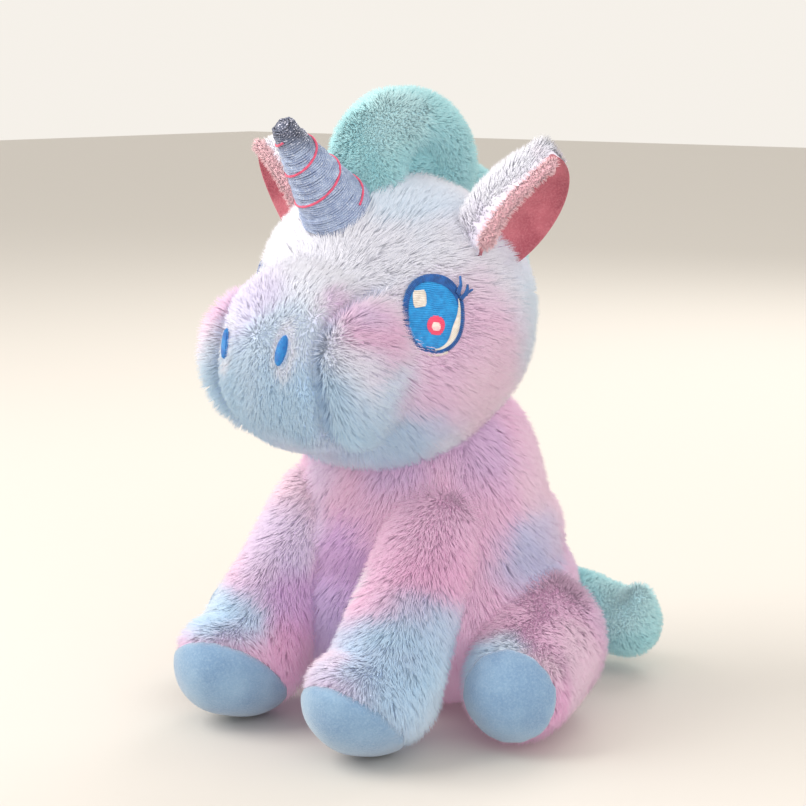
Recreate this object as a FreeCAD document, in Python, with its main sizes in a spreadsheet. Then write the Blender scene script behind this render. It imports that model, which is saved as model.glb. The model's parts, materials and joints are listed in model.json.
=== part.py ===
import FreeCAD, Part
import math
import os

import Sketcher
from FreeCAD import Placement, Rotation, Vector

# Seated plush unicorn. It faces -Y, its own left side is +X, and +Z is up.
# The origin is the middle of the flat seat, on the ground. All lengths are millimetres.
# Every outer surface is the envelope of the pile, so a cover's wall is cloth plus pile.

doc = FreeCAD.newDocument("PlushUnicorn")
sheet = doc.addObject("Spreadsheet::Sheet", "Sizes")

SIZES = {
    # walls, gaps and half spaces
    "pile_wall": 7, "part_gap": 0.3, "joint_gap": 0.7, "far_side": 400,
    "room_growth": 0.006,
    # torso: a broad seat with a narrower chest above it
    "rump_x": 0, "rump_y": 20, "rump_z": 52, "rump_wide": 75, "rump_deep": 72, "rump_high": 60,
    "chest_x": 0, "chest_y": 16, "chest_z": 98, "chest_wide": 61, "chest_deep": 60, "chest_high": 75,
    "shoulder_line": 121, "seat_wall": 3, "seat_disc": 34,
    "pouch_x": 0, "pouch_y": 26, "pouch_z": 22, "pouch_wide": 34, "pouch_deep": 34, "pouch_high": 13,
    # neck: a ball of stuffing, and the round gusset that closes the head over it
    "neck_x": 0, "neck_y": 8, "neck_z": 126, "neck_ball": 34, "gusset_wall": 3,
    # head
    "skull_x": 0, "skull_y": -8, "skull_z": 192, "skull_wide": 71, "skull_deep": 66, "skull_high": 68,
    "muzzle_x": 0, "muzzle_y": -64, "muzzle_z": 177,
    "muzzle_wide": 54, "muzzle_deep": 46, "muzzle_high": 47, "muzzle_seam": -58,
    # embroidered eye and nostril
    "eye_x": 58, "eye_y": -46, "eye_z": 199, "eye_turn": 56, "eye_wide": 13.9, "eye_high": 17.5,
    "eye_across": 0, "eye_up": 0, "eye_edge": 1.7, "eye_sink": 1.5, "eye_thick": 4, "stitch_rise": 0.6,
    "shine_wide": 2.6, "shine_high": 3.6, "shine_across": -5.2, "shine_up": 7.6,
    "spot_wide": 3.7, "spot_high": 4.1, "spot_across": 0.4, "spot_up": -5.2,
    "moon_wide": 11, "moon_high": 14.4, "moon_across": 0.6, "moon_up": -0.6,
    "hollow_wide": 11, "hollow_high": 14.6, "hollow_across": -1.9, "hollow_up": 1.6,
    "lash_0_wide": 0.9, "lash_0_high": 3.2, "lash_0_across": 12.6, "lash_0_up": 14,
    "lash_1_wide": 0.9, "lash_1_high": 3.2, "lash_1_across": 15.4, "lash_1_up": 10.2,
    "nostril_x": 17.5, "nostril_y": -103, "nostril_z": 186, "nostril_turn": 18,
    "nostril_wide": 2.6, "nostril_high": 6, "nostril_across": 0, "nostril_up": 0,
    "nostril_sink": 3.5, "nostril_thick": 2.4, "rod_back": 12, "rod_long": 22,
    # horn and its wound cord
    "horn_x": 0, "horn_y": -47, "horn_z": 243.2, "horn_base": 16.5,
    "horn_end_x": 0, "horn_end_y": -79.6, "horn_end_z": 278.5, "horn_point": 5.5, "horn_wall": 2.5,
    "cord_pitch": 15, "cord_start": 8, "cord_rise": 39, "cord_thick": 1.1, "cord_steps": 62,
    # ears
    "ear_x": 57, "ear_y": 0, "ear_z": 233, "ear_root": 12, "ear_lean": 36, "ear_face": 12,
    "ear_reach": 22, "ear_thick": 13, "ear_wide": 19, "ear_long": 26, "ear_foot": 8,
    "cup_shift": 9, "cup_thick": 11, "cup_wide": 14.5, "cup_long": 20, "lining_wall": 2.5,
    "trim_side": 13, "trim_shift": 8, "trim_thick": 4.5, "trim_wide": 4, "trim_long": 16,
    # mane: a curl over the crown and a roll down the back of the head
    "curl_x": 0, "curl_y": 5, "curl_z": 260.5, "curl_arc": 22, "curl_thick": 17.5, "curl_foot": 253,
    "crest_x": 0, "crest_y": 36, "crest_z": 246, "crest_thick": 16,
    "nape_x": 0, "nape_y": 66, "nape_z": 222, "nape_thick": 19,
    "mane_end_x": 0, "mane_end_y": 71, "mane_end_z": 182, "mane_end_thick": 18,
    # tail, which curls round to the left
    "tail_x": 8, "tail_y": 90, "tail_z": 46, "tail_root": 17,
    "tail_bend_x": 32, "tail_bend_y": 111, "tail_bend_z": 36, "tail_middle": 19,
    "tail_end_x": 54, "tail_end_y": 113, "tail_end_z": 25, "tail_tip": 20,
    # front legs
    "shoulder_x": 36, "shoulder_y": -20, "shoulder_z": 96, "shoulder_thick": 24, "shoulder_inner": 20,
    "fetlock_x": 41, "fetlock_y": -60, "fetlock_z": 38, "fetlock_thick": 28.5,
    "foot_x": 41, "foot_y": -72, "foot_z": 28.8, "foot_wide": 28, "foot_deep": 36, "foot_high": 28,
    "foot_tilt": 6, "hoof_x": 41, "hoof_y": -83, "hoof_z": 20, "hoof_slope": 41,
    # hind legs
    "hip_x": 62, "hip_y": 22, "hip_z": 37.6, "hip_thick": 37, "hip_inner": 46,
    "heel_x": 83, "heel_y": -19, "heel_z": 26.6, "heel_thick": 26,
    "pad_turn": 20, "pad_ahead": 13,
}

# Travel of the joints whose solids need room in the torso: from, to and step, in degrees.
FRONT_LEG_TRAVEL = (0, 35, 7)
HIND_LEG_TRAVEL = (0, 15, 5)
TAIL_TRAVEL = (-24, 8, 8)
SIDES = (("left", 1), ("right", -1))
MITRED = 1
X_AXIS = Vector(1, 0, 0)
Z_AXIS = Vector(0, 0, 1)

nodes = {}


def fill_sheet():
    """Write each driving dimension as a plain number with its alias."""
    for row, (alias, value) in enumerate(SIZES.items(), start=1):
        sheet.set(f"A{row}", alias.replace("_", " "))
        sheet.set(f"B{row}", str(value))
        sheet.setAlias(f"B{row}", alias)
    doc.recompute()


def size(alias):
    """Return one driving dimension as a number."""
    return float(getattr(sheet, alias))


def place_of(name, side=1):
    """Return the point NAME_x, NAME_y, NAME_z of the sheet, mirrored for the right side."""
    return Vector(side * size(name + "_x"), size(name + "_y"), size(name + "_z"))


def bind(thing, **expressions):
    """Bind properties of an object to expressions on the sheet."""
    for prop, expression in expressions.items():
        thing.setExpression(prop.replace("__", "."), expression)


def put(thing, name, side=1, turn=None):
    """Bind an object's position to a named point of the sheet, after turning it."""
    thing.Placement = Placement(place_of(name, side), turn or Rotation())
    bind(thing, Placement__Base__x=f"Sizes.{name}_x * {side}",
         Placement__Base__y=f"Sizes.{name}_y", Placement__Base__z=f"Sizes.{name}_z")


def ellipsoid(label, name, grow="0", side=1, turn=None):
    """An ellipsoid NAME_wide, NAME_deep, NAME_high at the point NAME, grown on every side."""
    thing = doc.addObject("Part::Ellipsoid", label)
    bind(thing, Radius1=f"Sizes.{name}_high + ({grow})", Radius2=f"Sizes.{name}_wide + ({grow})",
         Radius3=f"Sizes.{name}_deep + ({grow})")
    put(thing, name, side, turn)
    return thing


def ball(label, name, radius, side=1):
    """A ball at a named point."""
    thing = doc.addObject("Part::Sphere", label)
    bind(thing, Radius=radius)
    put(thing, name, side)
    return thing


def join(label, *things):
    """Fuse several objects."""
    thing = doc.addObject("Part::MultiFuse", label)
    thing.Shapes = list(things)
    return thing


def cut(label, base, *tools):
    """Take several objects away from one."""
    thing = doc.addObject("Part::Cut", label)
    thing.Base = base
    thing.Tool = tools[0] if len(tools) == 1 else join(label + "_tools", *tools)
    return thing


def keep(label, base, tool):
    """The part of one object that lies inside another."""
    thing = doc.addObject("Part::Common", label)
    thing.Base = base
    thing.Tool = tool
    return thing


def beyond(label, point, normal):
    """A large block that fills the space on the normal's side of a plane."""
    block = doc.addObject("Part::Box", label)
    bind(block, Length="Sizes.far_side", Width="Sizes.far_side", Height="Sizes.far_side")
    half = size("far_side") / 2
    centred = Placement(Vector(-half, -half, 0), Rotation())
    block.Placement = Placement(point, Rotation(Z_AXIS, normal)).multiply(centred)
    return block


def origin_plane(body, role):
    """Return one of a body's own origin planes."""
    return next(item for item in body.Origin.OriginFeatures if item.Role == role)


def apart(start, end):
    """Expression for the distance between two named points."""
    squares = [f"(Sizes.{start}_{axis} - Sizes.{end}_{axis})^2" for axis in "xyz"]
    return "sqrt(" + " + ".join(squares) + ")"


def roll(label, start, start_radius, end, end_radius, shrink="0", side=1):
    """A tapered roll with round ends: one turned body between two named points."""
    body = doc.addObject("PartDesign::Body", label)
    sketch = body.newObject("Sketcher::SketchObject", label + "_profile")
    sketch.AttachmentSupport = [(origin_plane(body, "XZ_Plane"), "")]
    sketch.MapMode = "FlatFace"
    first, last = place_of(start, side), place_of(end, side)
    length = (last - first).Length
    low, high = size(start_radius), size(end_radius)
    lean = math.asin((low - high) / length)
    across = Vector(math.cos(lean), math.sin(lean), 0)
    top = Vector(0, length, 0)
    low_circle = Part.Circle(Vector(0, 0, 0), Z_AXIS, low)
    top_circle = Part.Circle(top, Z_AXIS, high)
    bottom = sketch.addGeometry(Part.ArcOfCircle(low_circle, -math.pi / 2, lean), False)
    flank = sketch.addGeometry(Part.LineSegment(across * low, top + across * high), False)
    crown = sketch.addGeometry(Part.ArcOfCircle(top_circle, lean, math.pi / 2), False)
    spine = sketch.addGeometry(Part.LineSegment(top + Vector(0, high, 0), Vector(0, -low, 0)), False)
    rule = Sketcher.Constraint
    sketch.addConstraint([
        rule("Coincident", bottom, 3, -1, 1), rule("PointOnObject", crown, 3, -2),
        rule("Tangent", bottom, 2, flank, 1), rule("Tangent", flank, 2, crown, 1),
        rule("Coincident", crown, 2, spine, 1), rule("Coincident", spine, 2, bottom, 1),
        rule("PointOnObject", spine, 1, -2), rule("PointOnObject", spine, 2, -2),
    ])
    driven = (
        ("low_radius", rule("Radius", bottom, low), f"Sizes.{start_radius} - ({shrink})"),
        ("top_radius", rule("Radius", crown, high), f"Sizes.{end_radius} - ({shrink})"),
        ("length", rule("DistanceY", -1, 1, crown, 3, length), apart(start, end)),
    )
    for name, constraint, expression in driven:
        index = sketch.addConstraint(constraint)
        sketch.renameConstraint(index, name)
        sketch.setExpression("Constraints." + name, expression)
    turned = body.newObject("PartDesign::Revolution", label + "_turned")
    turned.Profile = sketch
    turned.ReferenceAxis = (sketch, ["V_Axis"])
    turned.Angle = 360
    body.Tip = turned
    put(body, start, side, Rotation(Z_AXIS, last - first))
    return body


def room(label, thing, pivot, axis, travel):
    """The space that an object sweeps about an axis, as copies turned by small steps.

    Each copy is a touch larger than the one before, so that their round ends never coincide.
    """
    doc.recompute()
    first, last, step = travel
    swept = None
    for index, angle in enumerate(range(first, last + 1, step)):
        copy = thing.Shape.copy()
        copy.rotate(pivot, axis, angle)
        copy.scale(1 + index * size("room_growth"), pivot)
        swept = swept.fuse(copy) if swept else copy
    space = doc.addObject("Part::Feature", label)
    space.Shape = swept
    return space


def node(label, thing):
    """Name an object as a finished sub-part."""
    thing.Label = label
    nodes[label] = thing
    return thing


def limb(leg, side_name, side, names, travel, cap_point, cap_normal, cap_label, foot=None):
    """One leg: cover, cap of velvet and stuffing. Returns the room that its travel needs."""
    start, start_radius, end, end_radius, inner_side = names
    title = f"{leg}_{side_name}"
    inward = Vector(side * size(inner_side), 0, 0)

    def body(suffix, shrink, offset):
        """The leg's whole form, shrunk evenly, and flat where it meets the torso."""
        form = roll(f"{title}_{suffix}_roll", start, start_radius, end, end_radius, shrink, side)
        if foot:
            turn = Rotation(X_AXIS, -size("foot_tilt"))
            toe = ellipsoid(f"{title}_{suffix}_toe", foot, f"-({shrink})", side, turn)
            form = join(f"{title}_{suffix}_form", form, toe)
        flat = beyond(f"{title}_{suffix}_side", inward + Vector(side * offset, 0, 0), Vector(side, 0, 0))
        return keep(f"{title}_{suffix}", form, flat)

    gap, wall = size("part_gap"), size("pile_wall")
    skin = cut(f"{title}_skin", body("outside", "0", gap), body("inside", "Sizes.pile_wall", wall))
    front = beyond(f"{title}_cap_side", cap_point, cap_normal)
    node(f"{title}_cover", cut(f"{title}_cover", skin, front))
    node(f"{cap_label}_{side_name}", keep(f"{cap_label}_{side_name}", skin, front))
    node(f"{title}_stuffing", body("stuffing", "Sizes.pile_wall + Sizes.part_gap", wall + gap))
    grown = roll(f"{title}_grown", start, start_radius, end, end_radius, "-Sizes.joint_gap", side)
    swept = room(f"{title}_sweep", grown, place_of(start, side), -X_AXIS, travel)
    return keep(f"{title}_room", swept, beyond(f"{title}_room_side", inward, Vector(side, 0, 0)))


def make_legs():
    """All four legs. Returns the rooms that they need in the torso."""
    rooms = []
    slope, turn = math.radians(size("hoof_slope")), math.radians(size("pad_turn"))
    for side_name, side in SIDES:
        hoof_normal = Vector(0, -math.sin(slope), -math.cos(slope))
        names = ("shoulder", "shoulder_thick", "fetlock", "fetlock_thick", "shoulder_inner")
        rooms.append(limb("front_leg", side_name, side, names, FRONT_LEG_TRAVEL,
                          place_of("hoof", side), hoof_normal, "front_hoof", "foot"))
        pad_normal = Vector(side * math.sin(turn), -math.cos(turn), 0)
        names = ("hip", "hip_thick", "heel", "heel_thick", "hip_inner")
        rooms.append(limb("hind_leg", side_name, side, names, HIND_LEG_TRAVEL,
                          place_of("heel", side) + pad_normal * size("pad_ahead"),
                          pad_normal, "hind_foot_pad"))
    return rooms


def make_tail():
    """The curled tail. Returns the room that it needs in the torso."""
    def form(suffix, shrink):
        """The tail's two rolls, shrunk evenly."""
        near = roll(f"tail_near_{suffix}", "tail", "tail_root", "tail_bend", "tail_middle", shrink)
        far = roll(f"tail_far_{suffix}", "tail_bend", "tail_middle", "tail_end", "tail_tip", shrink)
        return join(f"tail_{suffix}", near, far)

    node("tail_cover", cut("tail_cover", form("outside", "0"), form("inside", "Sizes.pile_wall")))
    node("tail_stuffing", form("stuffing", "Sizes.pile_wall + Sizes.part_gap"))
    grown = roll("tail_grown", "tail", "tail_root", "tail_bend", "tail_middle", "-Sizes.joint_gap")
    return room("tail_room", grown, place_of("tail"), Z_AXIS, TAIL_TRAVEL)


def make_torso(rooms):
    """Torso cover, seat panel, stuffing, bean pouch and the neck's ball of stuffing."""
    ground, line = Vector(0, 0, 0), Vector(0, 0, size("shoulder_line"))

    def form(suffix, grow, low, high):
        """The torso's form, grown evenly, between two heights."""
        whole = join(f"torso_{suffix}_whole", ellipsoid(f"rump_{suffix}", "rump", grow),
                     ellipsoid(f"chest_{suffix}", "chest", grow))
        under = beyond(f"torso_{suffix}_under", low, -Z_AXIS)
        over = beyond(f"torso_{suffix}_over", high, Z_AXIS)
        return cut(f"torso_{suffix}", whole, under, over)

    wall, gap = Vector(0, 0, size("seat_wall")), Vector(0, 0, size("part_gap"))
    outside = form("outside", "0", ground, line)
    inside = form("inside", "-Sizes.pile_wall", wall, line - wall)
    disc = doc.addObject("Part::Cylinder", "seat_panel")
    bind(disc, Radius="Sizes.seat_disc", Height="Sizes.seat_wall", Placement__Base__y="Sizes.rump_y")
    node("seat_panel", disc)
    node("torso_cover", cut("torso_cover", outside, inside, disc, *rooms))
    filling = form("filling", "-(Sizes.pile_wall + Sizes.part_gap)", wall + gap, line - wall - gap)
    pouch_room = ellipsoid("pouch_room", "pouch", "Sizes.part_gap")
    node("torso_stuffing", cut("torso_stuffing", filling, pouch_room, *rooms))
    node("bean_pouch", ellipsoid("bean_pouch", "pouch"))
    neck_ball = ball("neck_ball", "neck", "Sizes.neck_ball")
    node("neck_stuffing", keep("neck_stuffing", neck_ball, beyond("neck_over", line, Z_AXIS)))
    gusset_inside = ball("gusset_inside", "neck", "Sizes.neck_ball + Sizes.part_gap")
    gusset_outside = ball("gusset_outside", "neck", "Sizes.neck_ball + Sizes.part_gap + Sizes.gusset_wall")
    gusset = cut("gusset_shell", gusset_outside, gusset_inside)
    node("neck_gusset", keep("neck_gusset", gusset, beyond("gusset_above", line + gap + gap, Z_AXIS)))


def oval_rod(label, feature, side, oval, shrink="0"):
    """A long oval rod through a face feature, along the way that the feature faces.

    The oval is OVAL_wide by OVAL_high in half sizes, OVAL_across towards the rear of the
    feature and OVAL_up above it.
    """
    shape = doc.addObject("Part::Ellipse", label + "_oval")
    bind(shape, MajorRadius=f"Sizes.{oval}_high - ({shrink})", MinorRadius=f"Sizes.{oval}_wide - ({shrink})")
    turned = math.radians(size(feature + "_turn"))
    facing = Vector(side * math.sin(turned), -math.cos(turned), 0)
    across = Vector(-facing.y, facing.x, 0)
    shift = across * side * size(oval + "_across") + Z_AXIS * size(oval + "_up")
    start = place_of(feature, side) + shift - facing * size("rod_back")
    shape.Placement = Placement(start, Rotation(Z_AXIS, across, facing, "ZXY"))
    rod = doc.addObject("Part::Extrusion", label + "_rod")
    rod.Base = shape
    rod.DirMode = "Custom"
    rod.Dir = facing
    rod.Solid = True
    bind(rod, LengthFwd="Sizes.rod_long")
    return rod


def layer(label, name, top, under):
    """The thin layer of a head ellipsoid between two depths."""
    return cut(label, ellipsoid(label + "_top", name, top), ellipsoid(label + "_under", name, under))


def make_eye(side_name, side):
    """One embroidered eye. Returns the recess that it needs in the head cover."""
    deep = "-(Sizes.eye_sink + Sizes.eye_thick)"

    def rod(part, oval, shrink="0"):
        """An oval rod of this eye."""
        return oval_rod(f"eye_{part}_{side_name}", "eye", side, oval, shrink)

    def stitches(part, form, depth):
        """A sub-part made of the thread at one depth inside a form."""
        title = f"eye_{part}_{side_name}"
        node(title, keep(title, form, depth))

    flat = layer(f"eye_thread_{side_name}", "skull", "-Sizes.eye_sink", deep)
    proud = "-Sizes.eye_sink + Sizes.stitch_rise"
    raised = layer(f"eye_raised_{side_name}", "skull", proud, "-Sizes.eye_sink")
    whole, inner = rod("whole", "eye"), rod("inner", "eye", "Sizes.eye_edge")
    stitches("outline", cut(f"eye_ring_{side_name}", whole, inner), flat)
    stitches("iris", inner, flat)
    stitches("highlight", rod("shine", "shine"), raised)
    stitches("spot", rod("dot", "spot"), raised)
    moon = cut(f"eye_moon_{side_name}", rod("moon", "moon"), rod("hollow", "hollow"))
    stitches("crescent", moon, raised)
    return cut(f"eye_recess_{side_name}", whole, ellipsoid(f"eye_floor_{side_name}", "skull", deep))


def make_lashes(side_name, side):
    """Two short stitched lashes at the rear of the eye, on the surface of the pile."""
    outside = layer(f"lash_layer_{side_name}", "skull", "Sizes.stitch_rise", "0")
    strokes = [oval_rod(f"{lash}_{side_name}", "eye", side, lash) for lash in ("lash_0", "lash_1")]
    pair = join(f"lash_pair_{side_name}", *strokes)
    node(f"eye_lashes_{side_name}", keep(f"eye_lashes_{side_name}", pair, outside))


def make_nostril(side_name, side):
    """One embroidered nostril. Returns the recess that it needs in the muzzle panel."""
    rod = oval_rod(f"nostril_{side_name}", "nostril", side, "nostril")
    deep = "-(Sizes.nostril_sink + Sizes.nostril_thick)"
    thread = layer(f"nostril_thread_{side_name}", "muzzle", "-Sizes.nostril_sink", deep)
    node(f"nostril_{side_name}", keep(f"nostril_part_{side_name}", rod, thread))
    return cut(f"nostril_recess_{side_name}", rod, ellipsoid(f"nostril_floor_{side_name}", "muzzle", deep))


def make_mane(head_form):
    """Mane curl and back roll. Returns the curl's whole form, which the head makes room for."""
    foot = beyond("curl_above", Vector(0, 0, size("curl_foot")), Z_AXIS)

    def ring(suffix, shrink):
        """The curl's ring, shrunk evenly, above its foot."""
        torus = doc.addObject("Part::Torus", f"curl_ring_{suffix}")
        bind(torus, Radius1="Sizes.curl_arc", Radius2=f"Sizes.curl_thick - ({shrink})")
        put(torus, "curl", turn=Rotation(Vector(0, 1, 0), 90))
        return keep(f"curl_{suffix}", torus, foot)

    def back(suffix, shrink):
        """The roll down the back of the head, shrunk evenly."""
        upper = roll(f"crest_{suffix}", "crest", "crest_thick", "nape", "nape_thick", shrink)
        lower = roll(f"nape_{suffix}", "nape", "nape_thick", "mane_end", "mane_end_thick", shrink)
        return join(f"mane_back_{suffix}", upper, lower)

    curl = ring("outside", "0")
    node("mane_curl_cover", cut("mane_curl_cover", curl, ring("inside", "Sizes.pile_wall")))
    node("mane_curl_stuffing", ring("stuffing", "Sizes.pile_wall + Sizes.part_gap"))
    skin = cut("mane_back_skin", back("outside", "0"), back("inside", "Sizes.pile_wall"))
    node("mane_back_cover", cut("mane_back_cover", skin, head_form, curl))
    filling = back("stuffing", "Sizes.pile_wall + Sizes.part_gap")
    node("mane_back_stuffing", cut("mane_back_stuffing", filling, head_form, curl))
    return curl


def make_horn():
    """Horn cover, its stuffing and the cord wound round it. Returns the socket in the head."""
    ends = ("horn", "horn_base", "horn_end", "horn_point")
    inside = roll("horn_inside", *ends, "Sizes.horn_wall")
    node("horn_cover", cut("horn_cover", roll("horn_outside", *ends), inside))
    node("horn_stuffing", roll("horn_stuffing", *ends, "Sizes.horn_wall + Sizes.part_gap"))
    axis = place_of("horn_end") - place_of("horn")
    taper = math.asin((size("horn_base") - size("horn_point")) / axis.Length)
    stand_off = (size("horn_base") + size("cord_thick") + size("part_gap")) / math.cos(taper)
    path = []
    for step in range(round(size("cord_steps")) + 1):
        climbed = size("cord_rise") * step / size("cord_steps")
        high = size("cord_start") + climbed
        radius = stand_off - high * math.tan(taper)
        angle = math.tau * (climbed - size("cord_rise")) / size("cord_pitch")
        path.append(Vector(radius * math.cos(angle), radius * math.sin(angle), high))
    section = Part.Wire(Part.makeCircle(size("cord_thick"), path[0], path[1] - path[0]))
    cord = doc.addObject("Part::Feature", "horn_cord")
    cord.Shape = Part.makePolygon(path).makePipeShell([section], True, False, MITRED)
    cord.Placement = Placement(place_of("horn"), Rotation(Z_AXIS, axis))
    node("horn_cord", cord)
    return ball("horn_socket", "horn", "Sizes.horn_base + Sizes.joint_gap")


def make_ear(side_name, side):
    """One ear: cover, velvet lining and fluffy front trim. Returns the socket in the head."""
    lean, face = math.radians(size("ear_lean")), math.radians(size("ear_face"))
    along = Vector(side * math.sin(lean), 0, math.cos(lean))
    facing = Vector(side * math.cos(face) * math.cos(lean), -math.sin(face), -math.cos(face) * math.sin(lean))
    across = along.cross(facing) * side
    turn = Rotation(facing, along.cross(facing), along, "ZXY")
    centre = place_of("ear", side) + along * size("ear_reach")

    def oval(label, thick, wide, long, where):
        """An ellipsoid in the ear's own directions."""
        thing = doc.addObject("Part::Ellipsoid", f"ear_{label}_{side_name}")
        bind(thing, Radius1=long, Radius2=thick, Radius3=wide)
        thing.Placement = Placement(where, turn)
        return thing

    blade = oval("blade", "Sizes.ear_thick", "Sizes.ear_wide", "Sizes.ear_long", centre)
    foot = beyond(f"ear_foot_{side_name}", place_of("ear", side) + along * size("ear_foot"), along)
    root = ball(f"ear_root_{side_name}", "ear", "Sizes.ear_root", side)
    form = join(f"ear_form_{side_name}", keep(f"ear_top_{side_name}", blade, foot), root)
    hollow = centre + facing * size("cup_shift")
    cup = oval("cup", "Sizes.cup_thick", "Sizes.cup_wide", "Sizes.cup_long", hollow)
    bowl = oval("bowl", "Sizes.cup_thick - Sizes.lining_wall", "Sizes.cup_wide - Sizes.lining_wall",
                "Sizes.cup_long - Sizes.lining_wall", hollow)
    edge = centre + facing * size("trim_shift") - across * size("trim_side")
    trim = oval("edge", "Sizes.trim_thick", "Sizes.trim_wide", "Sizes.trim_long", edge)
    node(f"ear_cover_{side_name}", cut(f"ear_cover_{side_name}", form, cup, trim))
    cloth = cut(f"ear_cloth_{side_name}", keep(f"ear_cup_part_{side_name}", cup, form), bowl, trim)
    node(f"ear_lining_{side_name}", cloth)
    node(f"ear_trim_{side_name}", trim)
    return ball(f"ear_socket_{side_name}", "ear", "Sizes.ear_root + Sizes.joint_gap", side)


def make_head():
    """The head with everything that is sewn to it."""
    def form(suffix, grow):
        """The head's form, grown evenly."""
        return join(f"head_{suffix}", ellipsoid(f"skull_{suffix}", "skull", grow),
                    ellipsoid(f"muzzle_{suffix}", "muzzle", grow))

    outside = form("outside", "0")
    curl = make_mane(outside)
    pocket = ball("neck_pocket", "neck", "Sizes.neck_ball + Sizes.gusset_wall + 3 * Sizes.part_gap")
    sockets = [pocket, make_horn()]
    recesses = []
    for side_name, side in SIDES:
        sockets.append(make_ear(side_name, side))
        recesses += [make_eye(side_name, side), make_nostril(side_name, side)]
        make_lashes(side_name, side)
    skin = cut("head_skin", outside, form("inside", "-Sizes.pile_wall"))
    front = beyond("muzzle_side", Vector(0, size("muzzle_seam"), 0), Vector(0, -1, 0))
    node("head_cover", cut("head_cover", skin, front, curl, *sockets, *recesses))
    snout = keep("snout_skin", skin, front)
    node("muzzle_panel", cut("muzzle_panel", snout, *recesses, sockets[1]))
    filling = form("filling", "-(Sizes.pile_wall + Sizes.part_gap)")
    node("head_stuffing", cut("head_stuffing", filling, *sockets))


def check_document():
    """Stop when any object failed, or a sub-part is empty or not a valid solid."""
    failed = [thing.Label for thing in doc.Objects if {"Invalid", "Error"} & set(thing.State)]
    for label, thing in nodes.items():
        shape = thing.Shape
        if shape.isNull() or not shape.isValid() or not shape.Solids:
            failed.append(label + " (shape)")
    if failed:
        raise RuntimeError("failed: " + ", ".join(failed))


def write_parts():
    """Write each sub-part to its own STEP file."""
    os.makedirs("parts", exist_ok=True)
    for label, thing in nodes.items():
        solids = thing.Shape.Solids
        print(f"{label}: {len(solids)} solid(s), {thing.Shape.Volume / 1000:.2f} cm3")
        thing.Shape.exportStep(f"parts/{label}.step")


fill_sheet()
leg_rooms = make_legs()
tail_room = make_tail()
make_torso(leg_rooms + [tail_room])
make_head()
doc.recompute()
check_document()
write_parts()
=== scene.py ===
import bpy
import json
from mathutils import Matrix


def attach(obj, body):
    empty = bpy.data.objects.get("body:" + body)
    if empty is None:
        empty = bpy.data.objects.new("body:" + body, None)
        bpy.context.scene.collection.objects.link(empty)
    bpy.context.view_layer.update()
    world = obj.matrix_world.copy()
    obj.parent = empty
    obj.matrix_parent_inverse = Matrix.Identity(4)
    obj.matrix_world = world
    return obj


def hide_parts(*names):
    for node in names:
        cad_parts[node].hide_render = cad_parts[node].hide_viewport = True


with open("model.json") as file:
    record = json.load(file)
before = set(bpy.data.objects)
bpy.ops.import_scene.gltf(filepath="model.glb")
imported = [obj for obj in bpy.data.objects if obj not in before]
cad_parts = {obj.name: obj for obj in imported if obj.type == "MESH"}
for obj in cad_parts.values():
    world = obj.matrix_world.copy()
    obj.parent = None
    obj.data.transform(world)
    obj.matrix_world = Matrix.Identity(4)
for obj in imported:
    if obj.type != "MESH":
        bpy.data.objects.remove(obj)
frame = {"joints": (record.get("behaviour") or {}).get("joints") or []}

"""A seated plush unicorn with tie-dye pile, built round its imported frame.

It faces -Y, its own left side is +X and the ground is z = 0. Shapes are worked out in
millimetres and become metres when a mesh is made.
"""
import json
import logging
import math
from collections.abc import Callable, Sequence
from dataclasses import dataclass, field
from enum import Enum

import bmesh
import bpy
import numpy as np
from mathutils import Matrix, Vector, noise

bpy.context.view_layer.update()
LOG = logging.getLogger("unicorn")
MM = 0.001
CM2 = 100.0  # square millimetres
PER_M2 = 1e4  # square centimetres
SIDES = (("left", 1), ("right", -1))
NOISE_SEED = 12  # without a seed, vector noise changes from run to run
UP = Vector((0, 0, 1))
Socket = bpy.types.NodeSocket


def hinge_of(joint: str) -> Vector:
    """Return a joint's place in millimetres."""
    found = next(item for item in frame["joints"] if item["name"] == joint)
    return Vector(found["pos_m"]) / MM


def colour(code: str) -> tuple[float, float, float, float]:
    """Return an sRGB hex colour as linear RGBA."""
    parts = [int(code[i:i + 2], 16) / 255 for i in (0, 2, 4)]
    linear = [c / 12.92 if c <= 0.04045 else ((c + 0.055) / 1.055) ** 2.4 for c in parts]
    return (*linear, 1.0)


def smooth(values: np.ndarray, low: float, high: float) -> np.ndarray:
    """Return a smooth step from 0 at low to 1 at high."""
    t = np.clip((values - low) / (high - low), 0, 1)
    return t * t * (3 - 2 * t)


def bell(values: np.ndarray, width: float) -> np.ndarray:
    """Return 1 at 0, falling off smoothly over a width on both sides."""
    return np.exp(-(values / width) ** 2)


def unit(vectors: np.ndarray) -> np.ndarray:
    """Return each row as a vector of length 1."""
    return vectors / np.maximum(np.linalg.norm(vectors, axis=-1, keepdims=True), 1e-9)


def billow(points: np.ndarray, scale: float, seed: float = 0.0) -> np.ndarray:
    """Return smooth random vectors at points.

    Args:
        points: places in millimetres.
        scale: the size of the soft lumps in millimetres.
        seed: shifts the pattern.

    Returns:
        One vector per point, mostly within -1 to 1 on each axis.
    """
    shift = Vector((seed * 7.31, seed * 3.17, seed * 5.43))
    return np.array([noise.noise_vector(Vector(p) / scale + shift) for p in points])


# ---------------------------------------------------------------- node graphs


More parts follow.
